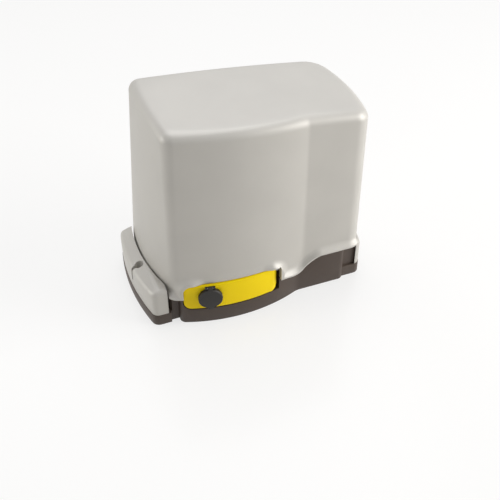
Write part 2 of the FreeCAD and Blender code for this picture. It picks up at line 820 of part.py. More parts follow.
def hood_shape():
    """The hood: one thin shell with its skirt, the lever notch and the opening at the back."""
    wall = val("hood_wall")
    solid = hood_block(0).cut(below_seam(0)).cut(hood_block(-wall)).fuse(skirt_shape())
    gap = val("lever_gap")
    pivot_x, pivot_y = val(PIVOT[0]), val(PIVOT[1])
    high = val("lever_top") + gap
    cuts = [lever_outline(gap, -130, -76)]
    cuts.append(post(val("knuckle_sweep"), pivot_x, pivot_y, 20, high))
    side = val(LEVER_RIGHT + " + swing_room")
    room = flat_box(pivot_x, side, -130, pivot_y, 20, high)
    cuts.append(rounded(room, 2.5, lambda m, t, e: abs(t.y) > 0.9 and m.x > side - 0.1
                        and m.z > high - 0.1))
    middle, height = val("output_place"), val("output_height")
    nose = val("nose_radius + nose_gap")
    cuts.append(Part.makeCylinder(nose, 60, Vector(middle, 45, height), Vector(0, 1, 0)))
    cuts.append(flat_box(middle - nose, middle + nose, 45, 105, 20, height))
    half = val("limit_slot_half")
    slot = flat_box(middle - half, middle + half, 45, 105, height, val("limit_slot_high"))
    cuts.append(rounded(slot, 4, lambda m, t, e: abs(t.y) > 0.9 and m.z > 140))
    return solid.cut(cuts[0].multiFuse(cuts[1:]))


node(computed("hood", hood_shape()))


# ---------------------------------------------------------------- foot covers
def wing_block(side, inset):
    """A foot cover as a full block; side is -1 on the left and 1 on the right."""
    low = val("foot_thick + wing_lift")
    solid = foot_plan_prism(-0.4 - inset, low if inset == 0 else low - 5, 90)
    solid = solid.common(flat_box(min(side * 120, side * 200), max(side * 120, side * 200),
                                  -200, 200, 0, 100))
    lower = inset + val("wing_round") * 0.3 if inset else 0
    edge, inside = val("wing_edge_height") - lower, val("wing_inner_height") - lower
    outer_x, inner_x = side * 171, side * 146
    roof = Part.Wire([
        arc_to((outer_x, -200, edge), (side * 160, -200, edge + (inside - edge) * 0.55),
               (inner_x, -200, inside)),
        line_to((inner_x, -200, inside), (side * 110, -200, inside + 1)),
        line_to((side * 110, -200, inside + 1), (side * 110, -200, 120)),
        line_to((side * 110, -200, 120), (outer_x, -200, 120)),
        line_to((outer_x, -200, 120), (outer_x, -200, edge)),
    ])
    solid = solid.cut(prism(roof, (0, 400, 0)))
    if not inset:
        solid = rounded(solid, val("wing_round"),
                        lambda m, t, e: abs(t.z) < 0.7 and e.CenterOfMass.z > edge - 5)
    inner = -val("wing_inner_left") if side < 0 else val("wing_inner_right")
    inner += side * inset
    solid = solid.common(flat_box(min(inner, side * 200), max(inner, side * 200),
                                  -200, 62 - inset, 0, 100))
    solid = solid.cut(hood_plan_prism(val("wing_gap") + inset, 0, 100))
    return max(solid.Solids, key=lambda piece: piece.Volume)


def wing_shape(side):
    """A foot cover: a shell open underneath, with a sunk seat for its screw."""
    full = wing_block(side, 0)
    hollow = wing_block(side, val("wing_wall"))
    word = "left" if side < 0 else "right"
    x, y = side * val("notch_x_" + word), val("notch_y_" + word)
    radius, slot = val("notch_radius_" + word), val("notch_slot") / 2
    seat = val("notch_seat")
    boss = post(radius + val("notch_wall"), x, y, seat - 3, 90).common(full)
    solid = full.cut(hollow).fuse(boss)
    solid = solid.cut(post(radius, x, y, seat, 90))
    outer = 176 * side
    solid = solid.cut(flat_box(min(x, outer), max(x, outer), y - slot, y + slot, seat, 90))
    solid = solid.cut(post(val("wing_screw_radius"), x, y, 10, seat + 1))
    return max(solid.Solids, key=lambda piece: piece.Volume)


for side, word in ((-1, "left"), (1, "right")):
    node(computed(f"foot_cover_{word}", wing_shape(side)))
    spot = (f"{side} * notch_x_{word}", f"notch_y_{word}")
    shank = rod(f"cover_screw_{word}_shank", "wing_screw_radius", "z", spot, ("12.5", "notch_seat"))
    head = rod(f"cover_screw_{word}_head", "wing_screw_head", "z", spot,
               ("notch_seat", "notch_seat + 3.2"))
    cross_a = block(f"cover_screw_{word}_slot_a", (spot[0] + " - 3", spot[0] + " + 3"),
                    (spot[1] + " - 0.6", spot[1] + " + 0.6"), ("notch_seat + 1.6", "notch_seat + 5"))
    cross_b = block(f"cover_screw_{word}_slot_b", (spot[0] + " - 0.6", spot[0] + " + 0.6"),
                    (spot[1] + " - 3", spot[1] + " + 3"), ("notch_seat + 1.6", "notch_seat + 5"))
    node(minus(f"foot_cover_screw_{word}", union(f"cover_screw_{word}_blank", shank, head),
               cross_a, cross_b))


# ---------------------------------------------------------------- release lever
def lever_shape():
    """The lever: a piece of the bulge's skin with its knuckle and the lock's boss."""
    outer = bulge_column(val("bulge_radius + lever_proud"))
    inner = bulge_column(val("bulge_radius + lever_proud - lever_thick"))
    pivot_x, pivot_y = val(PIVOT[0]), val(PIVOT[1])
    outline = lever_outline(0, -130, -60)
    # up to the pivot only; beyond it the knuckle closes the lever
    band = outline.common(outer).cut(inner)
    edge = val("lever_edge")

    def is_face_rim(middle, tangent, edge_):
        reach = math.hypot(middle.x + val("bulge_apex_left"),
                           middle.y - val("bulge_radius - bulge_apex"))
        return reach > val("bulge_radius + lever_proud") - 0.05
    band = rounded(band, edge, is_face_rim)
    band = band.common(flat_box(-200, pivot_x + 1.9, -130, -60, 0, 100))
    knuckle = post(val("knuckle_radius"), pivot_x, pivot_y, 0, 100).common(
        lever_outline(0, -130, -60))
    solid = band.fuse(knuckle)
    boss = lock_post(val("lock_boss_radius"), -val("lock_boss_depth"), -3)
    solid = solid.fuse(boss)
    solid = solid.cut(lock_post(val("lock_sleeve_radius"), -40, 10))
    solid = solid.cut(post(val("pin_radius + pin_play"), pivot_x, pivot_y, 0, 100))
    low, high = val("cam_low"), val("cam_high")
    hub = val("cam_hub")
    solid = solid.cut(post(hub, pivot_x, pivot_y, low, high))
    return solid.cut(flat_box(pivot_x - hub, pivot_x + 30, pivot_y - 2, pivot_y + 30, low, high))


def cam_shape():
    """The cam: its radius grows evenly over a quarter turn, so the rod follows the lever."""
    pivot_x, pivot_y = val(PIVOT[0]), val(PIVOT[1])
    least, rise, hub = val("cam_base"), val("rod_travel"), val("cam_hub")
    low, high = val("cam_low"), val("cam_high")
    points = []
    for step in range(0, 25):
        angle = math.radians(-4 + step * 4)
        share = min(1.0, max(0.0, angle / (math.pi / 2)))
        radius = least + rise * (1 - share)
        points.append(Vector(pivot_x + radius * math.cos(angle),
                             pivot_y + radius * math.sin(angle), low))
    last = math.radians(104)
    points.append(Vector(pivot_x + least * math.cos(last), pivot_y + least * math.sin(last), low))
    last = math.radians(150)
    points.append(Vector(pivot_x + 4 * math.cos(last), pivot_y + 4 * math.sin(last), low))
    last = math.radians(-30)
    points.append(Vector(pivot_x + 2 * math.cos(last), pivot_y + 2 * math.sin(last), low))
    lobe = Part.Face(Part.makePolygon(points + [points[0]])).extrude(Vector(0, 0, high - low))
    solid = lobe.fuse(post(hub, pivot_x, pivot_y, low, high))
    return solid.cut(post(val("pin_radius + pin_play"), pivot_x, pivot_y, 0, 100))


node(computed("lever_cam", cam_shape()))
node(rod("lever_pin", "pin_radius", "z", PIVOT, ("pocket_low + 1", "pocket_high")))


def lock_sleeve_shape():
    """The lock's fixed sleeve, its rim standing on the lever's face."""
    sleeve = lock_post(val("lock_sleeve_radius"), -val("lock_depth"), 0.2)
    rim = lock_post(val("lock_flange_radius"), 0.0, 1.6)
    rim = rim.cut(bulge_column(val("bulge_radius + lever_proud")))
    solid = sleeve.fuse(rim)
    return solid.cut(lock_post(val("lock_barrel_radius + lock_play"), -40, 10))


def lock_barrel_shape():
    """The turning barrel with its key slot."""
    barrel = lock_post(val("lock_barrel_radius"), -val("lock_depth") - 0.6, 1.2)
    return barrel.cut(lock_box(-0.8, 0.8, -12, 4, -4.2, 4.2))


def tongue_shape():
    """The flat tongue on the barrel's inner end, pointing up while unlocked."""
    start = -val("lock_depth") - 0.6
    end = start - val("tongue_thick")
    half, reach = val("tongue_half"), val("tongue_reach")
    hub = lock_post(val("lock_barrel_radius") - 1.4, end, start)
    bar = lock_box(-half, half, end, start, 0, reach - 1)
    return hub.fuse(bar)


node(computed("lock_sleeve", lock_sleeve_shape()))
node(computed("lock_barrel", lock_barrel_shape()))
node(computed("lock_tongue", tongue_shape()))


def cap_shape():
    """The lock's flip cap: a shallow cup with a hinge eye above and a finger nub below."""
    stand, rise, radius = val("cap_stand"), val("cap_rise"), val("cap_radius")
    wall = val("cap_wall")
    bevel = val("cap_bevel")
    cup = lock_post(radius, stand, rise - bevel).fuse(Part.makeCone(
        radius, radius - bevel, bevel, LOCK_SPOT + LOCK_OUT * (rise - bevel), LOCK_OUT))
    cup = cup.cut(lock_post(radius - wall, stand - 1, rise - wall))
    eye_z, stand_off = val("cap_hinge_rise"), val("cap_pin_stand")
    half, eye = val("cap_tab_half"), val("cap_lug_radius")
    tab = lock_box(-half, half, stand_off - 1.2, stand_off + eye, radius - 3, eye_z)
    knuckle = Part.makeCylinder(
        eye, 2 * half,
        LOCK_SPOT + LOCK_OUT * stand_off + Vector(0, 0, eye_z) + LOCK_SIDE * half, LOCK_SIDE * -1)
    nub = lock_box(-4, 4, stand + 1.5, rise - 0.6, -radius - 2.2, -radius + 2)
    bore = Part.makeCylinder(
        val("cap_pin_radius + pin_play"), 40,
        LOCK_SPOT + LOCK_OUT * stand_off + Vector(0, 0, eye_z) + LOCK_SIDE * 20, LOCK_SIDE * -1)
    solid = cup.fuse([tab, knuckle, nub]).cut(bore)
    return solid.cut(lock_post(radius - wall, stand - 1, stand + 1.8))


def hinge_shape():
    """The two lugs on the lever and the pin through them."""
    eye_z, stand_off = val("cap_hinge_rise"), val("cap_pin_stand")
    half, eye, wide = val("cap_tab_half") + 0.35, val("cap_lug_radius") - 0.4, val("cap_lug_wide")
    centre = LOCK_SPOT + LOCK_OUT * stand_off + Vector(0, 0, eye_z)
    pieces = []
    for start, end in ((half, half + wide), (-half - wide, -half)):
        pieces.append(Part.makeCylinder(eye, end - start, centre + LOCK_SIDE * start, LOCK_SIDE))
        pieces.append(lock_box(-end, -start, -1.5, stand_off, eye_z - eye, eye_z + 0.4))
    lugs = pieces[0].fuse(pieces[1:])
    lugs = lugs.cut(bulge_column(val("bulge_radius + lever_proud")))
    pin = Part.makeCylinder(val("cap_pin_radius"), 2 * (half + wide),
                            centre - LOCK_SIDE * (half + wide), LOCK_SIDE)
    return lugs.cut(pin), pin


LUGS, CAP_PIN = hinge_shape()
node(computed("release_lever", lever_shape().fuse(LUGS)))
node(computed("lock_cap", cap_shape()))
node(computed("cap_pin", CAP_PIN))


# ---------------------------------------------------------------- gears
def gear_outline(module, teeth, thinning, steps):
    """Corner points of an involute gear's section, a tooth centred on angle 0."""
    pitch = module * teeth / 2
    tip, root = pitch + module, pitch - 1.2 * module
    base_radius = pitch * math.cos(math.radians(20))

    def half_angle(radius):
        """Half a tooth's angle at a radius."""
        if radius < base_radius:
            radius = base_radius
        spread = math.acos(base_radius / radius)
        at_pitch = math.tan(math.radians(20)) - math.radians(20)
        return ((module * math.pi / 4 - thinning / 4) / pitch + at_pitch
                - (math.tan(spread) - spread))

    start = max(root, base_radius)
    radii = [root] if root < base_radius else []
    radii += [start + (tip - start) * share / steps for share in range(steps + 1)]
    points = []
    for tooth in range(teeth):
        middle = 2 * math.pi * tooth / teeth
        for radius in radii:
            points.append((radius, middle - half_angle(radius)))
        for radius in reversed(radii):
            points.append((radius, middle + half_angle(radius)))
    return points


def gear_shape(points, y0, y1, lead_angle, x, z):
    """A gear along Y from its section; lead_angle turns the section per length."""
    wires = []
    for y, turn in ((y0, -lead_angle * (y1 - y0) / 2), (y1, lead_angle * (y1 - y0) / 2)):
        corners = []
        for radius, angle in points:
            total = angle + turn
            corners.append(Vector(x + radius * math.cos(total), y, z - radius * math.sin(total)))
        wires.append(Part.makePolygon(corners + [corners[0]]))
    return Part.makeLoft(wires, True, True)


def worm_shape():
    """The worm's thread, straight-flanked, with 20 facets to a turn."""
    module = val("wheel_module")
    lead = math.pi * module
    pitch = val("worm_pitch_radius")
    root, tip = pitch - 1.2 * module - 0.4, pitch + module
    x, y = val(WORM_X), val("wheel_middle")
    mid_z = val("output_height")
    slope = math.tan(math.radians(20))
    half = lead / 4 - val("mesh_backlash") / 4
    low, high = val("worm_low"), val("worm_high")
    facets = 20
    first = int((low - mid_z) / lead * facets) - facets
    last = int((high - mid_z) / lead * facets) + facets
    rows = []
    for step in range(first, last + 1):
        angle = math.pi + 2 * math.pi * step / facets
        centre = mid_z + lead * step / facets
        row = []
        for radius, sign in ((root, -1), (tip, -1), (tip, 1), (root, 1)):
            wide = half - (radius - pitch) * slope
            row.append(Vector(x + radius * math.cos(angle), y + radius * math.sin(angle),
                              centre + sign * wide))
        rows.append(row)
    faces = []
    for before, after in zip(rows, rows[1:]):
        for corner in range(4):
            ahead = (corner + 1) % 4
            for triangle in ((before[corner], before[ahead], after[ahead]),
                             (before[corner], after[ahead], after[corner])):
                faces.append(Part.Face(Part.makePolygon(list(triangle) + [triangle[0]])))
    for row in (rows[0], rows[-1]):
        for triangle in ((row[0], row[1], row[2]), (row[0], row[2], row[3])):
            faces.append(Part.Face(Part.makePolygon(list(triangle) + [triangle[0]])))
    thread = Part.Solid(Part.Shell(faces))
    if thread.Volume < 0:
        thread.reverse()
    core = post(pitch - 1.2 * module, x, y, low - 6, high + 6)
    trimmed = thread.common(post(tip + 2, x, y, low, high))
    solid = trimmed.fuse(core)
    return solid.cut(post(val("rotor_shaft_radius"), x, y, low - 10, high + 10))


WORM_X = "(output_place + wheel_module * wheel_teeth / 2 + worm_pitch_radius)"
OUTPUT = ("output_place", "output_height")
WORM = (WORM_X, "wheel_middle")
PITCH = "(wheel_module * wheel_teeth / 2)"

# ---------------------------------------------------------------- gearbox
housing_box = block("housing_box", ("output_place - gearbox_left", "output_place + gearbox_right"),
                    ("-gearbox_front", "gearbox_back"), ("gearbox_low", "gearbox_high"))
housing_nose = rod("housing_nose", "nose_radius", "y", OUTPUT, ("gearbox_back - 5", "nose_end"))
housing_flange = rod("housing_flange", "motor_radius + 1", "z", WORM, ("gearbox_high", "motor_low"))
housing_bore = rod("housing_bore", "gearbox_bore", "y", OUTPUT,
                   ("-gearbox_front - 1", "gearbox_back - 4"))
housing_shaft = rod("housing_shaft", "shaft_radius + 7", "y", OUTPUT,
                    ("gearbox_back - 5", "back_bearing_start + 1"))
housing_seat = rod("housing_seat", "back_bearing_radius", "y", OUTPUT,
                   ("back_bearing_start", "nose_end + 1"))
housing_line = rod("housing_line", "worm_bearing_radius", "z", WORM,
                   ("gearbox_low + 8", "motor_low + 1"))
housing_relief = block("housing_relief", ("output_place - gearbox_left - 1", "output_place - 20"),
                       ("gearbox_back - 12", "gearbox_back + 1"),
                       ("gearbox_high - 18", "gearbox_high + 1"))
corner_bores = []
for index, (x, z) in enumerate((("output_place - 44", "gearbox_low + 8"),
                                ("output_place - 44", "gearbox_high - 8"),
                                ("output_place + 66", "gearbox_low + 8"),
                                ("output_place + 66", "gearbox_high - 8"))):
    corner_bores.append(rod(f"cover_bolt_bore_{index}", "2.5", "y", (x, z),
                            ("-gearbox_front - 1", "2")))
node(minus("gearbox_housing", union("housing_blank", housing_box, housing_nose, housing_flange),
           housing_bore, housing_shaft, housing_seat, housing_line, housing_relief, *corner_bores))

plate = block("cover_plate_blank", ("output_place - gearbox_left", "output_place + gearbox_right"),
              ("-gearbox_front - cover_plate_thick", "-gearbox_front"),
              ("gearbox_low", "gearbox_high"))
plate_boss = rod("cover_plate_boss", "front_bearing_radius + 5", "y", OUTPUT,
                 ("-gearbox_front - 1", "-front_bearing_end + 1"))
plate_seat = rod("cover_plate_seat", "front_bearing_radius", "y", OUTPUT,
                 ("-front_bearing_start", "10"))
plate_hole = rod("cover_plate_hole", "rod_radius + rod_play", "y", OUTPUT, ("-40", "0"))
plate_bores = []
cover_bolts = []
for index, (x, z) in enumerate((("output_place - 44", "gearbox_low + 8"),
                                ("output_place - 44", "gearbox_high - 8"),
                                ("output_place + 66", "gearbox_low + 8"),
                                ("output_place + 66", "gearbox_high - 8"))):
    front = "-gearbox_front - cover_plate_thick"
    plate_bores.append(rod(f"cover_plate_bore_{index}", "2.5", "y", (x, z), ("-40", "0")))
    shank = rod(f"cover_bolt_shank_{index}", "2.5", "y", (x, z), (front, "0"))
    head = rod(f"cover_bolt_head_{index}", "4.5", "y", (x, z), (front + " - 5", front))
    socket = rod(f"cover_bolt_socket_{index}", "2.3", "y", (x, z), (front + " - 6", front + " - 2"))
    cover_bolts.append(minus(f"cover_bolt_{index}", union(f"cover_bolt_blank_{index}", shank, head),
                             socket))
node(minus("gearbox_cover", union("cover_plate_body", plate, plate_boss), plate_seat, plate_hole,
           *plate_bores))
node(group("gearbox_cover_bolts", *cover_bolts))

base_bolts = []
for index, (x, y) in enumerate((("-28", "-2"), ("-28", "40"), ("70", "-2"), ("70", "40"))):
    shank = rod(f"base_bolt_shank_{index}", "3", "z", (x, y), ("6", "gearbox_low"))
    head = rod(f"base_bolt_head_{index}", "5.5", "z", (x, y), ("1.5", "6"))
    base_bolts.append(union(f"base_bolt_{index}", shank, head))
node(group("gearbox_base_bolts", *base_bolts))

node(ring("output_bearing_back", "back_bearing_radius", "shaft_radius + running_play", "y", OUTPUT,
          ("back_bearing_start", "back_bearing_end")))
node(ring("output_bearing_front", "front_bearing_radius", "shaft_radius + running_play", "y", OUTPUT,
          ("-front_bearing_start", "-front_bearing_end")))
node(ring("output_seal", "back_bearing_radius", "shaft_radius + 4.35", "y", OUTPUT,
          ("back_bearing_end + 2", "back_bearing_end + 10")))
node(ring("worm_bearing_low", "worm_bearing_radius", "rotor_shaft_radius + running_play", "z", WORM,
          ("gearbox_low + 8", "gearbox_low + 8 + worm_bearing_wide")))
node(ring("worm_bearing_high", "worm_bearing_radius", "rotor_shaft_radius + running_play", "z", WORM,
          ("motor_low - worm_bearing_wide - 4", "motor_low - 4")))

# ---------------------------------------------------------------- worm wheel, output, clutch
wheel_front, wheel_back = "(wheel_middle - wheel_half)", "(wheel_middle + wheel_half)"
wheel_teeth = gear_outline(val("wheel_module"), int(val("wheel_teeth")), val("mesh_backlash"), 2)
wheel_gap = math.pi / val("wheel_teeth")
wheel_points = [(radius, angle + wheel_gap) for radius, angle in wheel_teeth]
wheel_blank = computed("wheel_blank", gear_shape(
    wheel_points, val(wheel_front), val(wheel_back), val(f"0.125 / {PITCH}"),
    val(OUTPUT[0]), val(OUTPUT[1])))
wheel_bore = rod("wheel_bore", "shaft_radius + running_play", "y", OUTPUT, ("-5", "30"))
cone_growth = "clutch_slope * (wheel_middle + wheel_half - clutch_front + 1)"
wheel_cone = cone("wheel_cone",
                  ("clutch_small + clutch_face_gap - clutch_slope",
                   f"clutch_small + clutch_face_gap - clutch_slope + {cone_growth}"),
                  "y", OUTPUT, ("clutch_front - 1", wheel_back))
node(minus("worm_wheel", wheel_blank, wheel_bore, wheel_cone))

shaft_blank = turned("output_shaft_blank", [
    ("shaft_bore", "-front_bearing_start + 0.5"),
    ("shaft_radius", "-front_bearing_start + 0.5"),
    ("shaft_radius", "38"),
    ("shaft_radius + 3.5", "38"),
    ("shaft_radius + 3.5", "back_bearing_start - 0.3"),
    ("shaft_radius", "back_bearing_start - 0.3"),
    ("shaft_radius", "pinion_start + pinion_wide"),
    ("0", "pinion_start + pinion_wide"),
    ("0", "34"),
    ("shaft_bore", "34"),
], "y", OUTPUT)
pin_gap = "clutch_pin_radius + running_play"
shaft_slot = block("output_shaft_slot", ("output_place - 20", "output_place + 20"),
                   ("clutch_pin_place - clutch_pin_radius - 0.4",
                    "clutch_pin_place + rod_travel + clutch_pin_radius + 0.4"),
                   (f"output_height - ({pin_gap})", f"output_height + ({pin_gap})"))
shaft_key = block("output_shaft_keyway", ("output_place - 4", "output_place + 4"),
                  ("pinion_start + 3", "pinion_start + pinion_wide - 3"),
                  ("output_height + shaft_radius - 4", "output_height + shaft_radius + 3"))
shaft_tap = rod("output_shaft_tap", "4", "y", OUTPUT,
                ("pinion_start + pinion_wide - 20", "pinion_start + pinion_wide + 1"))
node(minus("output_shaft", shaft_blank, shaft_slot, shaft_key, shaft_tap))
node(ring("wheel_washer", "shaft_radius + 5.5", "shaft_radius", "y", OUTPUT,
          ("-front_bearing_end + 0.3", f"{wheel_front} - 0.1")))

pinion_points = gear_outline(val("pinion_module"), int(val("pinion_teeth")), 0.3, 4)
pinion_blank = computed("pinion_blank", gear_shape(
    pinion_points, val("pinion_start"), val("pinion_start + pinion_wide"), 0,
    val(OUTPUT[0]), val(OUTPUT[1])))
pinion_bore = rod("pinion_bore", "shaft_radius", "y", OUTPUT, ("80", "130"))
pinion_keyway = block("pinion_keyway", ("output_place - 4", "output_place + 4"),
                      ("80", "130"), ("output_height", "output_height + shaft_radius + 3"))
node(minus("pinion", pinion_blank, pinion_bore, pinion_keyway))
node(block("pinion_key", ("output_place - 4", "output_place + 4"),
           ("pinion_start + 3", "pinion_start + pinion_wide - 3"),
           ("output_height + shaft_radius - 4", "output_height + shaft_radius + 3")))
node(ring("pinion_spacer", "shaft_radius + 4", "shaft_radius", "y", OUTPUT,
          ("back_bearing_end + 0.3", "pinion_start")))
node(ring("pinion_washer", "shaft_radius + 5", "4", "y", OUTPUT,
          ("pinion_start + pinion_wide", "pinion_start + pinion_wide + 3")))
screw_start = "(pinion_start + pinion_wide)"
screw_shank = rod("pinion_screw_shank", "4", "y", OUTPUT, (f"{screw_start} - 18", f"{screw_start} + 3"))
screw_head = computed("pinion_screw_head_blank", Part.Face(Part.makePolygon([
    Vector(val("output_place") + 7.5 * math.cos(math.radians(60 * k)),
           val(screw_start) + 3,
           val("output_height") + 7.5 * math.sin(math.radians(60 * k)))
    for k in range(7)])).extrude(Vector(0, 5.3, 0)))
node(union("pinion_screw", screw_shank, screw_head))

clutch_ring = turned("clutch_ring", [
    ("shaft_radius + running_play", "clutch_front"),
    ("clutch_small", "clutch_front"),
    ("clutch_small + clutch_slope * 7.5", "clutch_front + 7.5"),
    ("clutch_small + 5", "clutch_front + 7.5"),
    ("clutch_small + 5", "clutch_back"),
    ("shaft_radius + running_play", "clutch_back"),
], "y", OUTPUT)
clutch_hole = rod("clutch_pin_hole", "clutch_pin_radius", "x",
                  ("clutch_pin_place", "output_height"), ("output_place - 40", "output_place + 40"))
node(minus("clutch_cone", clutch_ring, clutch_hole))
node(rod("clutch_pin", "clutch_pin_radius", "x", ("clutch_pin_place", "output_height"),
         ("output_place - clutch_small - 4", "output_place + clutch_small + 4")))

rod_start = f"({PIVOT_Y} + cam_base + rod_tip_gap)"
rod_end = "(clutch_pin_place - clutch_pin_radius - 0.35)"
node(turned("release_rod", [
    ("0", rod_start), ("1", rod_start), ("rod_radius", f"{rod_start} + 3"),
    ("rod_radius", f"{rod_end} - 1"), ("rod_radius - 1", rod_end), ("0", rod_end)],
    "y", OUTPUT))

# ---------------------------------------------------------------- rotor and worm
node(rod("rotor_shaft", "rotor_shaft_radius", "z", WORM,
         ("gearbox_low + 9", "motor_high + motor_cap_thick + 8")))
node(computed("worm", worm_shape()))
node(turned("rotor_core", [
    ("rotor_shaft_radius", "stator_low"),
    ("rotor_radius", "stator_low"),
    ("rotor_radius", "stator_high"),
    ("rotor_radius - 2", "stator_high"),
    ("rotor_radius - 2", "stator_high + 5"),
    ("rotor_radius - 9", "stator_high + 5"),
    ("rotor_radius - 9", "stator_high"),
    ("rotor_shaft_radius", "stator_high"),
], "z", WORM))
node(ring("encoder_disc", "20", "rotor_shaft_radius", "z", WORM,
          ("motor_high + motor_cap_thick + 4", "motor_high + motor_cap_thick + 6")))


# ---------------------------------------------------------------- motor
def finned_shape():
    """The motor's tube with upright fins."""
    x, y = val(WORM_X), val("wheel_middle")
    low, high = val("motor_low"), val("motor_high")
    outer, fin = val("motor_radius"), val("motor_fin")
    count = int(val("motor_fin_count"))
    corners = []
    for index in range(count):
        for share, radius in ((0.0, outer), (0.55, outer), (0.62, outer + fin),
                              (0.93, outer + fin)):
            angle = 2 * math.pi * (index + share) / count
            corners.append(Vector(x + radius * math.cos(angle), y + radius * math.sin(angle),
                                  low + 7))
    fins = Part.Face(Part.makePolygon(corners + [corners[0]])).extrude(
        Vector(0, 0, high - low - 12))
    tube = post(outer, x, y, low, high).fuse(fins)
    return tube.cut(post(outer - val("motor_wall"), x, y, low + 5, high + 1)).cut(
        post(val("worm_bearing_radius") - 3, x, y, low - 1, high))


node(computed("motor_housing", finned_shape()))
inside = "motor_radius - motor_wall"
node(ring("stator", inside, "rotor_radius + rotor_gap", "z", WORM, ("stator_low", "stator_high")))
winding_low = ring("winding_low", "motor_radius - motor_wall - 2", "rotor_radius + 4", "z", WORM,
                   ("stator_low - 8", "stator_low"))
winding_high = ring("winding_high", "motor_radius - motor_wall - 2", "rotor_radius + 4", "z", WORM,
                    ("stator_high", "stator_high + 10"))
node(group("stator_windings", winding_low, winding_high))
motor_bolts = []
motor_bolt_bores = []
for index in range(4):
    x = f"{WORM_X} + {'-+'[index % 2]} 27.2"
    y = f"wheel_middle + {'-+'[index // 2]} 27.2"
    shank = rod(f"motor_bolt_shank_{index}", "2", "z", (x, y),
                ("motor_high + motor_cap_thick - 10", "motor_high + motor_cap_thick"))
    head = rod(f"motor_bolt_head_{index}", "3.6", "z", (x, y),
               ("motor_high + motor_cap_thick", "motor_high + motor_cap_thick + 3"))
    motor_bolt_bores.append(rod(f"motor_bolt_bore_{index}", "2", "z", (x, y),
                                ("motor_high + motor_cap_thick - 10", "motor_high + 20")))
    motor_bolts.append(union(f"motor_bolt_{index}", shank, head))
cap_blank = turned("motor_end_cap_blank", [
    ("rotor_shaft_radius + 0.5", "motor_high + 4"),
    ("motor_radius", "motor_high + 4"),
    ("motor_radius", "motor_high"),
    ("motor_radius + 2", "motor_high"),
    ("motor_radius + 2", "motor_high + motor_cap_thick - 5"),
    ("motor_radius - 6", "motor_high + motor_cap_thick"),
    ("rotor_shaft_radius + 0.5", "motor_high + motor_cap_thick"),
], "z", WORM)
cap_seat = rod("motor_end_cap_seat", "worm_bearing_radius", "z", WORM,
               ("motor_high + 3", "motor_high + 4 + worm_bearing_wide"))
cap_spigot = ring("motor_end_cap_spigot", inside, "motor_radius - motor_wall - 4", "z", WORM,
                  ("motor_high - 5", "motor_high + 5"))
node(minus("motor_end_cap", union("motor_end_cap_body", cap_blank, cap_spigot), cap_seat,
           *motor_bolt_bores))
node(group("motor_cap_bolts", *motor_bolts))
node(ring("motor_bearing", "worm_bearing_radius", "rotor_shaft_radius + running_play", "z", WORM,
          ("motor_high + 4", "motor_high + 4 + worm_bearing_wide")))
cup_outer = rod("encoder_cover_outer", "encoder_cover_radius", "z", WORM,
                ("motor_high + motor_cap_thick", "encoder_cover_high"))
cup_inner = rod("encoder_cover_inner", "encoder_cover_radius - 2", "z", WORM,
                ("motor_high + motor_cap_thick - 1", "encoder_cover_high - 2"))
node(minus("encoder_cover", cup_outer, cup_inner))
# ---------------------------------------------------------------- electrics
front, thick = "-carrier_front", "carrier_thick"
carrier_plate = block("carrier_plate", ("-board_left - 5", "-board_right + 5"),
                      (front, f"{front} + {thick}"), ("floor_top", "board_high + 4"))
carrier_rib_left = block("carrier_rib_left", ("-board_left - 5", "-board_left - 2"),
                         (front, "-30"), ("floor_top", "board_high - 20"))
carrier_rib_right = block("carrier_rib_right", ("-board_right + 2", "-board_right + 5"),
                          (front, "-24"), ("gearbox_high + 2", "board_high - 20"))
carrier_foot = block("carrier_foot", ("-board_left - 5", "-50"), (front, "-28"),
                     ("floor_top", "floor_top + 3"))
carrier_posts = []
for index, (x, z) in enumerate((("-board_left + 6", "board_low + 6"),
                                ("-board_left + 6", "board_high - 6"),
                                ("-board_right - 6", "board_low + 6"),
                                ("-board_right - 6", "board_high - 6"))):
    carrier_posts.append(rod(f"carrier_post_{index}", "4", "y", (x, z),
                             ("-board_front + board_thick", f"{front} + 1")))
rod_pass = block("carrier_rod_pass", ("output_place - 12", "output_place + 12"), ("-70", "-40"),
                 ("0", "output_height + 12"))
node(minus("board_carrier", union("carrier_body", carrier_plate, carrier_rib_left,
                                  carrier_rib_right, carrier_foot, *carrier_posts), rod_pass))
board_blank = block("board_blank", ("-board_left", "-board_right"),
                    ("-board_front", "-board_front + board_thick"), ("board_low", "board_high"))
node(board_blank, "control_board")
board_blank.Label = "control_board"


def on_board(name, x0, x1, z0, z1, deep):
    """A component standing on the board's front."""
    return block(name, (f"-board_left + {x0}", f"-board_left + {x1}"),
                 (f"-board_front - {deep}", "-board_front"),
                 (f"board_low + {z0}", f"board_low + {z1}"))


terminals = []
for index in range(9):
    left = 6 + index * 9.2
    blank = on_board(f"terminal_blank_{index}", left, left + 8.4, 3, 15, 12)
    mouth = block(f"terminal_mouth_{index}",
                  (f"-board_left + {left + 2}", f"-board_left + {left + 6.4}"),
                  ("-board_front - 7", "-board_front - 2.5"), ("board_low", "board_low + 10"))
    well = rod(f"terminal_well_{index}", "1.9", "y",
               (f"-board_left + {left + 4.2}", "board_low + 10.5"),
               ("-board_front - 13", "-board_front - 8"))
    terminals.append(minus(f"terminal_{index}", blank, mouth, well))
node(group("board_terminals", *terminals))
node(group("board_relays", *[on_board(f"relay_{k}", 10 + 24 * k, 29 + 24 * k, 24, 40, 15)
                             for k in range(3)]))
node(group("board_capacitors", *[rod(f"smoothing_{k}", "6", "y",
                                     (f"-board_left + {34 + 15 * k}", "board_low + 98"),
                                     ("-board_front - 18", "-board_front")) for k in range(3)]))
plugs = [on_board("plug_motor", 80, 90, 50, 76, 9), on_board("plug_limit", 80, 90, 84, 104, 9),
         on_board("plug_mains", 6, 16, 50, 76, 9)]
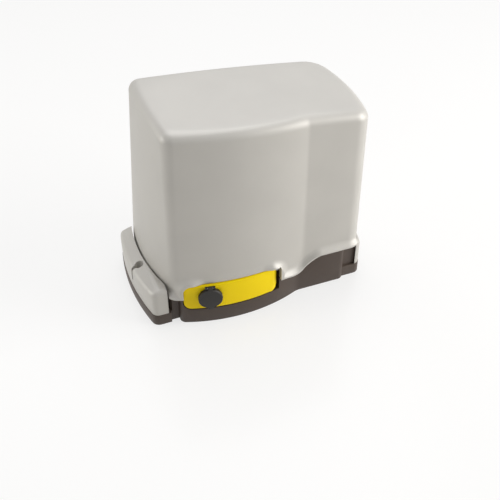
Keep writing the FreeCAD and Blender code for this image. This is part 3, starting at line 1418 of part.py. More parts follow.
chips = [on_board("chip_main", 30, 44, 66, 80, 2), on_board("chip_driver", 54, 66, 66, 74, 2),
         on_board("chip_radio", 12, 24, 96, 116, 3)]
buttons = [on_board(f"button_{k}", 30 + 13 * k, 36 + 13 * k, 124, 130, 5) for k in range(4)]
node(group("board_parts", *plugs, *chips, *buttons))

core_left, core_right, core_front, core_back = "-106", "-50", "-20", "32"
transformer_core_blank = block("transformer_core_blank", (core_left, core_right),
                               (core_front, core_back), ("floor_top", "floor_top + 66"))
window_low = block("transformer_window_a", (f"{core_left} + 10", f"{core_left} + 20"),
                   ("-30", "40"), ("floor_top + 12", "floor_top + 54"))
window_high = block("transformer_window_b", (f"{core_right} - 20", f"{core_right} - 10"),
                    ("-30", "40"), ("floor_top + 12", "floor_top + 54"))
node(minus("transformer_core", transformer_core_blank, window_low, window_high))
coil_outer = block("transformer_coil_outer", (f"{core_left} + 10", f"{core_right} - 10"),
                   (f"{core_front} - 8", f"{core_back} + 8"), ("floor_top + 13", "floor_top + 53"))
coil_inner = block("transformer_coil_inner", (f"{core_left} + 20", f"{core_right} - 20"),
                   (core_front, core_back), ("floor_top + 12", "floor_top + 54"))
node(minus("transformer_coil", coil_outer, coil_inner))

CAN = ("126", "4")
can_body = rod("capacitor_can", "17.5", "z", CAN, ("floor_top", "floor_top + 88"))
can_top = rod("capacitor_top", "15", "z", CAN, ("floor_top + 88", "floor_top + 91"))
tab_a = block("capacitor_tab_a", ("119", "120"), ("1", "7"), ("floor_top + 91", "floor_top + 99"))
tab_b = block("capacitor_tab_b", ("132", "133"), ("1", "7"), ("floor_top + 91", "floor_top + 99"))
node(union("run_capacitor", can_body, can_top, tab_a, tab_b))
clamp_ring = ring("clamp_ring", "20", "17.5", "z", CAN, ("floor_top + 38", "floor_top + 50"))
clamp_leg = block("clamp_leg", ("120", "132"), ("-16.8", "-13.8"), ("floor_top", "floor_top + 50"))
clamp_foot = block("clamp_foot", ("120", "132"), ("-32", "-13.8"), ("floor_top", "floor_top + 3"))
node(union("capacitor_clamp", clamp_ring, clamp_leg, clamp_foot))

entry_x, entry_y = "-cable_left", "cable_back"
lip = block("grommet_lip", (f"{entry_x} - cable_half_length - 4", f"{entry_x} + cable_half_length + 4"),
            (f"{entry_y} - cable_half_width - 4", f"{entry_y} + cable_half_width + 4"),
            ("floor_top", "floor_top + 3"))
lip_hole = block("grommet_hole",
                 (f"{entry_x} - cable_half_length + 3", f"{entry_x} + cable_half_length - 3"),
                 (f"{entry_y} - cable_half_width + 3", f"{entry_y} + cable_half_width - 3"),
                 ("0", "30"))
node(minus("cable_grommet", lip, lip_hole))

# ---------------------------------------------------------------- limit switch
bracket_plate = block("limit_box_foot", ("output_place - 36", "output_place + 3"),
                      ("gearbox_back - 10", "limit_pivot_back + 12"),
                      ("gearbox_high", "gearbox_high + 3"))
box_outer = block("limit_box_outer", ("output_place - limit_half", "output_place + limit_half"),
                  ("limit_pivot_back - 11", "limit_pivot_back + 13"),
                  ("gearbox_high + 3", "limit_height + 17"))
box_slot = block("limit_box_slot", ("output_place - 20", "output_place + 20"),
                 ("limit_pivot_back - 7", "limit_pivot_back + 20"),
                 ("limit_height - 5", "limit_height + 5"))
box_bore = rod("limit_box_bore", "limit_shaft_radius + running_play", "z",
               ("output_place", "limit_pivot_back"), ("limit_height - 10", "limit_height + 10"))
node(minus("limit_switch_box", union("limit_box_body", box_outer, bracket_plate), box_slot,
           box_bore))
arm_shaft = rod("limit_arm_shaft", "limit_shaft_radius", "z", ("output_place", "limit_pivot_back"),
                ("limit_height - 9", "limit_height + 9"))
arm_hub = rod("limit_arm_hub", "6.5", "z", ("output_place", "limit_pivot_back"),
              ("limit_height - 4", "limit_height + 4"))
arm_stem = rod("limit_arm_stem", "2.6", "y", ("output_place", "limit_height"),
               ("limit_pivot_back", "limit_pivot_back + limit_reach - 4"))
arm_tip = rod("limit_arm_tip", "4", "y", ("output_place", "limit_height"),
              ("limit_pivot_back + limit_reach - 16", "limit_pivot_back + limit_reach"))
node(union("limit_arm", arm_shaft, arm_hub, arm_stem, arm_tip))

# ---------------------------------------------------------------- fasteners of the base
level_screws = []
for index, (x, y) in enumerate((("-level_half_length", "-level_front"),
                                ("-level_half_length", "level_back"),
                                ("level_half_length", "-level_front"),
                                ("level_half_length", "level_back"))):
    body = rod(f"level_screw_body_{index}", "level_radius", "z", (x, y), ("2", "foot_thick - 1"))
    socket = rod(f"level_screw_socket_{index}", "2.2", "z", (x, y), ("foot_thick - 6", "foot_thick"))
    level_screws.append(minus(f"level_screw_{index}", body, socket))
node(group("levelling_screws", *level_screws))


# ---------------------------------------------------------------- check and write
doc.recompute()
for thing in doc.Objects:
    if "Invalid" in thing.State or "Error" in thing.State:
        raise RuntimeError(f"{thing.Label} did not work out: {thing.State}")
os.makedirs("parts", exist_ok=True)
for name, thing in NODES.items():
    shape = thing.Shape
    if shape.isNull() or not shape.isValid():
        raise RuntimeError(f"{name} has no sound solid")
    thing.Label = name
    shape.exportStep(f"parts/{name}.step")
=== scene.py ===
# %% [markdown]
# A sliding gate motor stands on the ground beside the gate: a tall painted hood over a dark base,
# a yellow release lever with a lock on the front, and a toothed pinion behind that drives the
# gate's rack. This lesson dresses its engineering model, piece by piece, in Blender.

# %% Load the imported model
import math
import bmesh
import bpy
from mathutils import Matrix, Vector


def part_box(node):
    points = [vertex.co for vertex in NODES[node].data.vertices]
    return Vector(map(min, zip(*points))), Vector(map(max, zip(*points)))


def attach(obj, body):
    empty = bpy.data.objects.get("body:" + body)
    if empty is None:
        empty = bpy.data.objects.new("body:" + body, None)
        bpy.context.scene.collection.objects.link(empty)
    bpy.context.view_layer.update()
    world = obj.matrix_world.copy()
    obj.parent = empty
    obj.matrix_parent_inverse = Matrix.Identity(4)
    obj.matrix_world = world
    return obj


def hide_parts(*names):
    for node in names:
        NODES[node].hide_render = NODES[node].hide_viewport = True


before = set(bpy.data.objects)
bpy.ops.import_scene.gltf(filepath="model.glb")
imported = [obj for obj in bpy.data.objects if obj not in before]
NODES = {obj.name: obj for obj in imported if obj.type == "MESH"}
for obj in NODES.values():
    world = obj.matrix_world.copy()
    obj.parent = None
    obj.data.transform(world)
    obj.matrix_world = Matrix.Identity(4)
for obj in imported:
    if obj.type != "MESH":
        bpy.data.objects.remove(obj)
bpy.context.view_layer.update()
MM = 0.001

# %% [markdown]
# Sizes come first. The hood and the lever repeat the engineering values, in millimetres, so that a
# finer surface lies where the solid does.

# %% Sizes of the hood, the seam and the lever
HOOD_LOW_LEVEL, HOOD_HIGH_LEVEL = 47.0, 320.0
HOOD_WALL = 3.0
HOOD_RIM = 14.0
PLAN = {
    "low": {"left": (129.0, 149.0, 141.0), "right": (150.0, 159.0, 145.0), "corner": 87.0,
            "apex": 106.0, "flat": 92.0, "back": (79.0, 78.0)},
    "high": {"left": (125.0, 130.0, 130.0), "right": (149.0, 155.0, 138.0), "corner": 83.0,
             "apex": 98.0, "flat": 91.0, "back": (64.0, 56.0)},
}
LEFT_MIDDLE, RIGHT_MIDDLE = 8.0, 20.0
CREASE, APEX_LEFT = 62.0, 35.0
CORNER_ROUNDS = {"front_left": 19.0, "crease": 26.0, "front_right": 22.0,
                 "back_right": 36.0, "back_left": 16.0}
SEAM_LOW, SEAM_HIGH = 47.0, 64.0
SEAM_START, SEAM_END = 50.0, 90.0
SEAM_DIP, SEAM_DIP_PLACE = 3.5, 46.0
LIP_PROUD, LIP_HIGH, LIP_EDGE, LIP_CURL = 6.6, 14.0, 2.6, 2.2
LIP_FADE, LIP_OVER_LEVER = 18.0, 0.75
LIP_LEFT, LIP_RIGHT = -134.0, 147.0
LEVER_LEFT, LEVER_LOW, LEVER_HIGH = 116.0, 26.5, 70.0
LEVER_GAP = 1.2
LEVER_CUT_ROUNDS = (11.7, 16.2, 16.2, 11.7)
KNUCKLE, KNUCKLE_SWEEP, SWING_ROOM = 9.8, 14.3, 3.6
BULGE_RADIUS, BULGE_APEX = 235.0, 109.0
LEVER_PROUD = 0.6
OUTPUT_X, OUTPUT_Z = 10.0, 62.0
PIVOT_X = OUTPUT_X
PIVOT_Y = BULGE_RADIUS - BULGE_APEX - math.sqrt(
    (BULGE_RADIUS + LEVER_PROUD - KNUCKLE) ** 2 - (OUTPUT_X + APEX_LEFT) ** 2)
LEVER_RIGHT = OUTPUT_X + KNUCKLE
NOSE_RADIUS, NOSE_GAP = 34.0, 2.5
SLOT_HALF, SLOT_HIGH = 15.5, 152.0
print("lever pivot at", round(PIVOT_X, 1), round(PIVOT_Y, 1))


# %% [markdown]
# Materials are sums on the surface's own coordinates. A small class wraps a shader socket, so that
# `1 - mask` or `noise * 0.2` adds the Math nodes for it, and one function adds any other node. Nodes
# could be placed one by one, but a sum reads more easily as a sum.

# %% A socket that does sums
class Wire:
    """One output socket of a material, which can be added, multiplied and so on."""

    def __init__(self, tree, socket):
        self.tree, self.socket = tree, socket

    def maths(self, operation, *others):
        """A Math node on these wires or numbers; those given are all of its inputs."""
        made = self.tree.nodes.new("ShaderNodeMath")
        made.operation = operation
        for place, value in enumerate(others):
            if isinstance(value, Wire):
                self.tree.links.new(value.socket, made.inputs[place])
            else:
                made.inputs[place].default_value = value
        return Wire(self.tree, made.outputs[0])

    def __add__(self, other):
        return self.maths("ADD", self, other)

    def __radd__(self, other):
        return self.maths("ADD", other, self)

    def __sub__(self, other):
        return self.maths("SUBTRACT", self, other)

    def __rsub__(self, other):
        return self.maths("SUBTRACT", other, self)

    def __mul__(self, other):
        return self.maths("MULTIPLY", self, other)

    def __rmul__(self, other):
        return self.maths("MULTIPLY", other, self)

    def step(self, low, high):
        """0 below low, 1 above high, and a smooth rise between."""
        made = self.tree.nodes.new("ShaderNodeMapRange")
        made.interpolation_type = "SMOOTHSTEP"
        self.tree.links.new(self.socket, made.inputs[0])
        made.inputs[1].default_value, made.inputs[2].default_value = low, high
        return Wire(self.tree, made.outputs[0])

    def blend(self, first, second):
        """A colour between first and second, by this wire's value."""
        made = self.tree.nodes.new("ShaderNodeMix")
        made.data_type = "RGBA"
        self.tree.links.new(self.socket, made.inputs[0])
        for socket, value in ((made.inputs[6], first), (made.inputs[7], second)):
            if isinstance(value, Wire):
                self.tree.links.new(value.socket, socket)
            else:
                socket.default_value = (*value, 1)
        return Wire(self.tree, made.outputs[2])


def add_node(tree, kind, settings=None, **values):
    """Any other node: its settings first, then its sockets by name, with underscores for spaces."""
    made = tree.nodes.new(kind)
    for name, value in (settings or {}).items():
        setattr(made, name, value)
    for name, value in values.items():
        socket = made.inputs[name.replace("_", " ")]
        if isinstance(value, Wire):
            tree.links.new(value.socket, socket)
        else:
            socket.default_value = value
    return made


def linear(red, green, blue):
    """A colour given as it looks, in 0 to 255, as the shader needs it."""
    return tuple(((c / 255 + 0.055) / 1.055) ** 2.4 if c > 10 else c / 255 / 12.92
                 for c in (red, green, blue))


print("mid grey as the shader needs it:", round(linear(128, 128, 128)[0], 3))


# %% [markdown]
# One recipe serves every finish: a base colour that drifts a little, a grain of the right size that
# moves colour, roughness and bump together and, where asked, a little dust on faces that look up.
# Paint, moulded plastic, cast metal and turned metal differ in the numbers that are passed in.

# %% The common recipe for a finish
def finish_material(name, colour, drift=0.04, rough=0.5, metal=0.0, grain=900.0, bump=0.1,
                    rough_swing=0.08, stretch=(1, 1, 1), dust=None, dust_amount=0.0, coat=0.0,
                    coat_rough=0.2, depth=0.0004, gleam=0.5):
    """A material for one finish; grain is in features per metre, bump from 0 to 1."""
    made = bpy.data.materials.new(name)
    made.use_nodes = True
    tree = made.node_tree
    surface = tree.nodes["Principled BSDF"]
    place = Wire(tree, tree.nodes.new("ShaderNodeTexCoord").outputs["Object"])
    turned = add_node(tree, "ShaderNodeMapping", Vector=place, Scale=stretch)
    spot = Wire(tree, turned.outputs[0])
    fine = Wire(tree, add_node(tree, "ShaderNodeTexNoise", Vector=spot, Scale=grain,
                               Detail=3.0, Roughness=0.6).outputs["Fac"])
    broad = Wire(tree, add_node(tree, "ShaderNodeTexNoise", Vector=place, Scale=14.0,
                                Detail=3.0).outputs["Fac"])
    dark = tuple(c * (1 - drift) for c in colour)
    light = tuple(min(1.0, c * (1 + drift)) for c in colour)
    mixed = (fine * 0.55 + broad * 0.45).step(0.35, 0.65)
    shade = mixed.blend(dark, light)
    if dust:
        facing = Wire(tree, tree.nodes.new("ShaderNodeNewGeometry").outputs["Normal"])
        split = add_node(tree, "ShaderNodeSeparateXYZ", Vector=facing)
        upward = Wire(tree, split.outputs["Z"]).step(0.55, 0.95)
        patch = (broad * 0.7 + fine * 0.3).step(0.42, 0.66)
        shade = (upward * patch * dust_amount).blend(shade, dust)
    tree.links.new(shade.socket, surface.inputs["Base Color"])
    gloss = rough + (fine - 0.5) * rough_swing + (broad - 0.5) * rough_swing
    tree.links.new(gloss.socket, surface.inputs["Roughness"])
    surface.inputs["Metallic"].default_value = metal
    surface.inputs["Specular IOR Level"].default_value = gleam
    surface.inputs["Coat Weight"].default_value = coat
    surface.inputs["Coat Roughness"].default_value = coat_rough
    raised = add_node(tree, "ShaderNodeBump", Height=fine, Strength=bump, Distance=depth)
    tree.links.new(raised.outputs[0], surface.inputs["Normal"])
    return made


print("the recipe for a finish is ready")


# %% [markdown]
# The finishes of this motor. The hood is ABS sprayed in warm silver: a soft metallic that brightens
# towards the light, under a thin satin lacquer. The base and the lock's cap are moulded with a fine
# leathery texture, the lever is glossy yellow, and inside are castings, steel, copper and the board.

# %% Finishes
FINISHES = {
    "silver_paint": finish_material("silver_paint", linear(193, 190, 184), drift=0.035, rough=0.46,
                                    metal=0.2, grain=2600.0, bump=0.05, rough_swing=0.05,
                                    depth=0.0001),
    "dark_base": finish_material("dark_base", linear(70, 58, 50), drift=0.10, rough=0.52,
                                 grain=1500.0, bump=0.12, dust=linear(118, 106, 94),
                                 dust_amount=0.25, depth=0.00015),
    "yellow": finish_material("yellow", linear(255, 222, 0), drift=0.02, rough=0.5, gleam=0.2,
                              grain=1400.0, bump=0.06, depth=0.0001),
    "black_plastic": finish_material("black_plastic", linear(18, 14, 10), drift=0.16, rough=0.5,
                                     grain=1700.0, bump=0.15, depth=0.00015),
    "rubber": finish_material("rubber", linear(30, 30, 30), drift=0.2, rough=0.78,
                              grain=1200.0, bump=0.25),
    "aluminium": finish_material("aluminium", linear(168, 170, 172), drift=0.10, rough=0.52,
                                 metal=0.9, grain=1100.0, bump=0.45, rough_swing=0.2),
    "steel": finish_material("steel", linear(186, 188, 190), drift=0.06, rough=0.30,
                             metal=1.0, grain=1600.0, bump=0.10, rough_swing=0.14,
                             stretch=(1, 8, 1)),
    "bearing_steel": finish_material("bearing_steel", linear(205, 206, 208), drift=0.04,
                                     rough=0.2, metal=1.0, grain=1800.0, bump=0.05,
                                     stretch=(1, 6, 1)),
    "bronze": finish_material("bronze", linear(186, 136, 72), drift=0.10, rough=0.34,
                              metal=1.0, grain=1300.0, bump=0.15, rough_swing=0.15),
    "laminations": finish_material("laminations", linear(104, 106, 112), drift=0.18, rough=0.5,
                                   metal=0.8, grain=700.0, bump=0.6, stretch=(0.05, 0.05, 3)),
    "copper": finish_material("copper", linear(196, 104, 54), drift=0.16, rough=0.3,
                              metal=0.9, grain=900.0, bump=0.5, coat=0.4, stretch=(3, 3, 0.4)),
    "board_green": finish_material("board_green", linear(24, 96, 56), drift=0.18, rough=0.36,
                                   grain=500.0, bump=0.15, coat=0.4),
    "terminal_green": finish_material("terminal_green", linear(40, 140, 74), drift=0.06,
                                      rough=0.4, grain=1500.0, bump=0.08),
    "component_black": finish_material("component_black", linear(38, 38, 42), drift=0.15,
                                       rough=0.46, grain=1500.0, bump=0.12),
}
print("finishes:", len(FINISHES))

# %% [markdown]
# Every node takes its finish from the material slot that the record gives it, so that nothing is
# left with the flat preview colour it arrived in.

# %% Give each node its finish
for node_name, node_object in NODES.items():
    for index, slot in enumerate(node_object.material_slots):
        wanted = slot.material.name.split(".")[0] if slot.material else "component_black"
        known = wanted if wanted in FINISHES else "component_black"
        node_object.data.materials[index] = FINISHES[known]
print("finish of the hood:", NODES["hood"].data.materials[0].name)


# %% [markdown]
# The hood's plan is five sides, arcs and straight lines, with each corner rounded. A rounding's
# centre stands at the rounding's radius from both sides; twelve steps of Newton's method
# find it for arcs as well as for lines, and the crease beside the right panel rounds the other way.

# %% Sides and rounded corners of a plan
def circle_through(a, b, c):
    """Centre and radius of the circle through three points."""
    ax, ay = b[0] - a[0], b[1] - a[1]
    bx, by = c[0] - a[0], c[1] - a[1]
    twice = 2 * (ax * by - ay * bx)
    left, right = ax * ax + ay * ay, bx * bx + by * by
    x, y = (by * left - ay * right) / twice, (ax * right - bx * left) / twice
    return (a[0] + x, a[1] + y), math.hypot(x, y)


def depth_in(side, x, y):
    """How far (x, y) lies inside a side of the plan."""
    if side[0] == "arc":
        (cx, cy), radius = side[1], side[2]
        return radius - math.hypot(x - cx, y - cy)
    (ax, ay), (bx, by) = side[1], side[2]
    length = math.hypot(bx - ax, by - ay)
    return ((bx - ax) * (y - ay) - (by - ay) * (x - ax)) / length


def onto(side, x, y):
    """The point of a side nearest to (x, y)."""
    step = 1e-4
    gone = depth_in(side, x, y)
    gx = (depth_in(side, x + step, y) - gone) / step
    gy = (depth_in(side, x, y + step) - gone) / step
    return x - gx * gone, y - gy * gone


def rounding_centre(first, second, corner, radius):
    """Centre of the rounding between two sides; a negative radius rounds a hollow corner."""
    x, y = corner
    step = 1e-4
    for _ in range(12):
        f, g = depth_in(first, x, y) - radius, depth_in(second, x, y) - radius
        fx = (depth_in(first, x + step, y) - radius - f) / step
        fy = (depth_in(first, x, y + step) - radius - f) / step
        gx = (depth_in(second, x + step, y) - radius - g) / step
        gy = (depth_in(second, x, y + step) - radius - g) / step
        scale = fx * gy - fy * gx
        x, y = x - (f * gy - g * fy) / scale, y - (g * fx - f * gx) / scale
    return x, y


def run_along(side, start, end, count):
    """Evenly spaced points of a side from start up to, not with, end."""
    if side[0] == "line":
        return [(start[0] + (end[0] - start[0]) * k / count,
                 start[1] + (end[1] - start[1]) * k / count) for k in range(count)]
    (cx, cy), radius = side[1], side[2]
    first = math.atan2(start[1] - cy, start[0] - cx)
    last = math.atan2(end[1] - cy, end[0] - cx)
    turn = (last - first + math.pi) % (2 * math.pi) - math.pi
    return [(cx + radius * math.cos(first + turn * k / count),
             cy + radius * math.sin(first + turn * k / count)) for k in range(count)]


SIDE_COUNTS = (124, 44, 48, 72, 48)
ROUND_COUNT = 12


def plan_points(level, grow):
    """The hood's rounded plan as points, anticlockwise from the front left corner."""
    size = PLAN[level]
    (left_front, left_mid, left_back), (right_front, right_mid, right_back) = (
        size["left"], size["right"])
    back_left, back_right = size["back"]
    corners = {
        "front_left": (-left_front - grow, -size["corner"] - grow),
        "crease": (CREASE, -size["flat"] - grow),
        "front_right": (right_front + grow, -size["flat"] - grow),
        "back_right": (right_back + grow, back_right + grow),
        "back_left": (-left_back - grow, back_left + grow),
    }
    names = list(corners)
    middles = ((-APEX_LEFT, -size["apex"] - grow), None, (right_mid + grow, -RIGHT_MIDDLE),
               None, (-left_mid - grow, LEFT_MIDDLE))
    sides = []
    for place, middle in enumerate(middles):
        start, end = corners[names[place]], corners[names[(place + 1) % 5]]
        if middle:
            centre, radius = circle_through(start, middle, end)
            sides.append(("arc", centre, radius))
        else:
            sides.append(("line", start, end))
    trims = {}
    for place, name in enumerate(names):
        radius = CORNER_ROUNDS[name] + grow
        if name == "crease":
            radius = -(CORNER_ROUNDS[name] - grow)
        before, after = sides[place - 1], sides[place]
        centre = rounding_centre(before, after, corners[name], radius)
        trims[name] = (centre, abs(radius), onto(before, *centre), onto(after, *centre))
    points = []
    for place, name in enumerate(names):
        centre, radius, entry, leave = trims[name]
        points += run_along(("arc", centre, radius), entry, leave, ROUND_COUNT)
        following = trims[names[(place + 1) % 5]]
        points += run_along(sides[place], leave, following[2], SIDE_COUNTS[place])
    return points


low_plan = plan_points("low", 0.0)
print("points round the hood:", len(low_plan), "widest",
      round(max(p[0] for p in low_plan) - min(p[0] for p in low_plan), 1))


# %% [markdown]
# The seam between hood and base climbs in an S on the right, and the hood's lower edge flares out
# into a lip. The lip follows the seam and curls up round both ends of the release lever. How proud
# it stands is worked out from the distance to the nearest edge, so it turns those corners by itself.

# %% The seam and the lip
def smooth(value):
    """0 to 1 with soft ends."""
    held = min(1.0, max(0.0, value))
    return held * held * (3 - 2 * held)


def seam(x):
    """Height of the joint between base and hood."""
    rise = (SEAM_HIGH - SEAM_LOW) * smooth((x - SEAM_START) / (SEAM_END - SEAM_START))
    return SEAM_LOW + rise - SEAM_DIP * math.exp(-((x - SEAM_DIP_PLACE) / 15.0) ** 2)


def notch_distance(x, z):
    """Distance from (x, z) to the lever's opening; 0 inside it."""
    left, right = -LEVER_LEFT - LEVER_GAP, PIVOT_X + KNUCKLE_SWEEP
    high = LEVER_HIGH + LEVER_GAP
    radius = 11.7 if x < -50 else 15.0
    across = max(left + radius - x, x - right + radius)
    above = z - high + radius
    if across <= 0 or above <= 0:
        return max(0.0, max(across, above) - radius)
    return max(0.0, math.hypot(across, above) - radius)


def lip(x, y, z):
    """How far the hood's skin stands out of its plain wall at a point of the front."""
    ends = smooth((x - LIP_LEFT) / 5.0) * smooth((LIP_RIGHT + 3.0 - x) / 5.0)
    front = smooth((-50.0 - y) / 20.0)
    over_seam = max(0.0, z - seam(x))
    near = min(over_seam, notch_distance(x, z))
    middle = smooth((x + 104.0) / LIP_FADE) * smooth((14.0 - x) / LIP_FADE)
    over_lever = 1.0 - LIP_OVER_LEVER * middle if notch_distance(x, z) < over_seam else 1.0
    share = min(1.0, max(0.0, (near - LIP_EDGE) / (LIP_HIGH - LIP_EDGE)))
    return LIP_PROUD * (1 - share) ** LIP_CURL * ends * front * over_lever


def top_height(x):
    """Height of the hood's top, which falls faster towards the right."""
    along = x + 120.0
    return 310.0 - 0.04 * along - 0.105 / 540.0 * along * along


print("top at the left", round(top_height(-120), 1), "and right", round(top_height(145), 1))


# %% [markdown]
# The hood's skin is a stack of plan outlines: dense rows over the lip, wide rows up the plain wall,
# a quarter round over the rim, and rings that draw together over the top. The same rows, moved in by
# the wall's thickness, make the inside, and one strip closes the lower edge.

# %% Rows of the hood
WALL_STEPS = ([k * 0.8 for k in range(6)] + [4.8 + k * 1.4 for k in range(1, 31)]
              + [46.8 + k * 9.0 for k in range(1, 5)])
RIM_STEPS = 9
TOP_SHARES = (0.12, 0.28, 0.46, 0.64, 0.80, 0.92, 0.98)
TOP_MIDDLE = (8.0, -10.0)


def hood_rows(inset, flared):
    """Rows of points from the seam to the middle of the top; inset is the depth in the wall."""
    low, high = plan_points("low", -inset), plan_points("high", -inset)
    rim = HOOD_RIM - inset
    tight = plan_points("low", -inset - rim), plan_points("high", -inset - rim)
    count = len(low)

    def at(pair, index, z):
        share = (z - HOOD_LOW_LEVEL) / (HOOD_HIGH_LEVEL - HOOD_LOW_LEVEL)
        (ax, ay), (bx, by) = pair[0][index], pair[1][index]
        return ax + (bx - ax) * share, ay + (by - ay) * share

    rows = []
    for number in range(len(WALL_STEPS) + 6):
        row = []
        for index in range(count):
            x, y = at((low, high), index, HOOD_LOW_LEVEL)
            start, end = seam(x), top_height(x) - inset - rim
            if number < len(WALL_STEPS):
                z = start + WALL_STEPS[number]
            else:
                z = start + WALL_STEPS[-1]
                z += (end - z) * (number - len(WALL_STEPS) + 1) / 6.0
            x, y = at((low, high), index, z)
            if flared:
                out = lip(x, y, z)
                before, after = low[index - 1], low[(index + 1) % count]
                along = math.hypot(after[0] - before[0], after[1] - before[1])
                x += (after[1] - before[1]) / along * out
                y -= (after[0] - before[0]) / along * out
            row.append(Vector((x, y, z)))
        rows.append(row)
    for number in range(1, RIM_STEPS + 1):
        angle = math.pi / 2 * number / RIM_STEPS
        row = []
        for index in range(count):
            x, _ = at((low, high), index, 290.0)
            base = top_height(x) - inset - rim
            ox, oy = at((low, high), index, base)
            ix, iy = at(tight, index, base)
            share = 1 - math.cos(angle)
            x, y = ox + (ix - ox) * share, oy + (iy - oy) * share
            row.append(Vector((x, y, top_height(x) - inset - rim * (1 - math.sin(angle)))))
        rows.append(row)
    for share in TOP_SHARES:
        row = []
        for point in rows[len(WALL_STEPS) + 5 + RIM_STEPS]:
            x = point.x + (TOP_MIDDLE[0] - point.x) * share
            y = point.y + (TOP_MIDDLE[1] - point.y) * share
            row.append(Vector((x, y, top_height(x) - inset)))
        rows.append(row)
    return rows


outer_rows = hood_rows(0.0, True)
inner_rows = hood_rows(HOOD_WALL, False)
print("rows:", len(outer_rows), "highest", round(max(p.z for r in outer_rows for p in r), 1))


# %% [markdown]
# A small mesh helper turns rows into faces. It keeps every face pointing outwards and gives the
# object its finish. Shading is smooth except where two faces meet at a real edge.

# %% Mesh helpers
def tidy_mesh(made, merge=1e-6, recalculate=True):
    """Welds doubles and points faces outwards."""
    shape = bmesh.new()
    shape.from_mesh(made.data)
    bmesh.ops.remove_doubles(shape, verts=shape.verts, dist=merge)
    if recalculate:
        bmesh.ops.recalc_face_normals(shape, faces=shape.faces)
    shape.to_mesh(made.data)
    shape.free()
    return made


def smooth_by_angle(made, degrees):
    """Smooth shading, with an edge kept sharp where the faces turn by more than degrees."""
    for face in made.data.polygons:
        face.use_smooth = True
    shape = bmesh.new()
    shape.from_mesh(made.data)
    limit = math.radians(degrees)
    for edge in shape.edges:
        edge.smooth = len(edge.link_faces) == 2 and edge.calc_face_angle(0.0) < limit
    shape.to_mesh(made.data)
    shape.free()


def new_object(name, points, faces, finish):
    """A mesh object from points in millimetres."""
    mesh = bpy.data.meshes.new(name)
    mesh.from_pydata([tuple(c * MM for c in p) for p in points], [], faces)
    mesh.update()
    made = bpy.data.objects.new(name, mesh)
    bpy.context.scene.collection.objects.link(made)
    mesh.materials.append(FINISHES[finish])
    return made


def strip_faces(count, first, second):
    """Quads between two closed rows that start at these vertex numbers."""
    return [(first + k, first + (k + 1) % count, second + (k + 1) % count, second + k)
            for k in range(count)]


def apply_modifiers(made):
    """Turns an object's modifiers into plain mesh."""
    bpy.context.view_layer.update()
    graph = bpy.context.evaluated_depsgraph_get()
    mesh = bpy.data.meshes.new_from_object(made.evaluated_get(graph))
    made.modifiers.clear()
    old = made.data
    made.data = mesh
    mesh.name = made.name
    bpy.data.meshes.remove(old)
    return made


def cut_away(made, cutter):
    """Subtracts one closed shape from another and removes the cutter."""
    step = made.modifiers.new("cut", "BOOLEAN")
    step.operation, step.solver, step.object = "DIFFERENCE", "EXACT", cutter
    apply_modifiers(made)
    bpy.data.objects.remove(cutter)
    return made


print("one strip of a closed row of four:", strip_faces(4, 0, 4))


# %% [markdown]
# The real hood is one moulding, so its skin and inside become one closed shell, with a real wall
# that shows where it is cut. A skin alone would look paper thin when the hood is lifted.

# %% Build the hood
def closed_shell(name, outside, inside, finish):
    """A closed shell from outer and inner rows, joined along their first rows."""
    count = len(outside[0])
    points, faces = [], []
    for rows in (outside, inside):
        start = len(points)
        for row in rows:
            points += row
        for number in range(len(rows) - 1):
            faces += strip_faces(count, start + number * count, start + (number + 1) * count)
        faces.append(tuple(start + (len(rows) - 1) * count + k for k in range(count)))
        if rows is inside:
            faces += strip_faces(count, 0, start)
    made = new_object(name, points, faces, finish)
    return tidy_mesh(made)


def prism(name, outline, y0, y1):
    """A closed prism along Y from an outline of (x, z) points."""
    count = len(outline)
    points = [(x, y0, z) for x, z in outline] + [(x, y1, z) for x, z in outline]
    faces = [tuple(range(count)), tuple(reversed(range(count, 2 * count)))]
    faces += strip_faces(count, 0, count)
    return tidy_mesh(new_object(name, points, faces, "silver_paint"))


def rounded_box(left, right, low, high, radii, steps=10):
    """Outline of a box with its own rounding at (left low, right low, right high, left high)."""
    corners = ((left, low, 1, 1, 180), (right, low, -1, 1, 270),
               (right, high, -1, -1, 0), (left, high, 1, -1, 90))
    outline = []
    for (x, z, sx, sz, start), radius in zip(corners, radii):
        for k in range(steps + 1):
            angle = math.radians(start + 90 * k / steps)
            outline.append((x + sx * radius + radius * math.cos(angle),
                            z + sz * radius + radius * math.sin(angle)))
    return outline


def upright(name, radius, x, y, low, high, count=64):
    """A closed upright cylinder."""
    rows = [[(x + radius * math.cos(2 * math.pi * k / count),
              y + radius * math.sin(2 * math.pi * k / count), z) for k in range(count)]
            for z in (low, high)]
    faces = strip_faces(count, 0, count) + [tuple(range(count)),
                                            tuple(reversed(range(count, 2 * count)))]
    return tidy_mesh(new_object(name, rows[0] + rows[1], faces, "silver_paint"))


hood = closed_shell("hood_shell", outer_rows, inner_rows, "silver_paint")
print("hood before cutting:", len(hood.data.polygons), "faces")

# %% [markdown]
# The hood is open in three places. In front is the lever's place, with room for its knuckle and for
# its end to swing in. Behind are the pinion's opening and the slot that the limit switch's arm stands
# in. Closed cutters and an exact boolean keep the walls of each opening true.

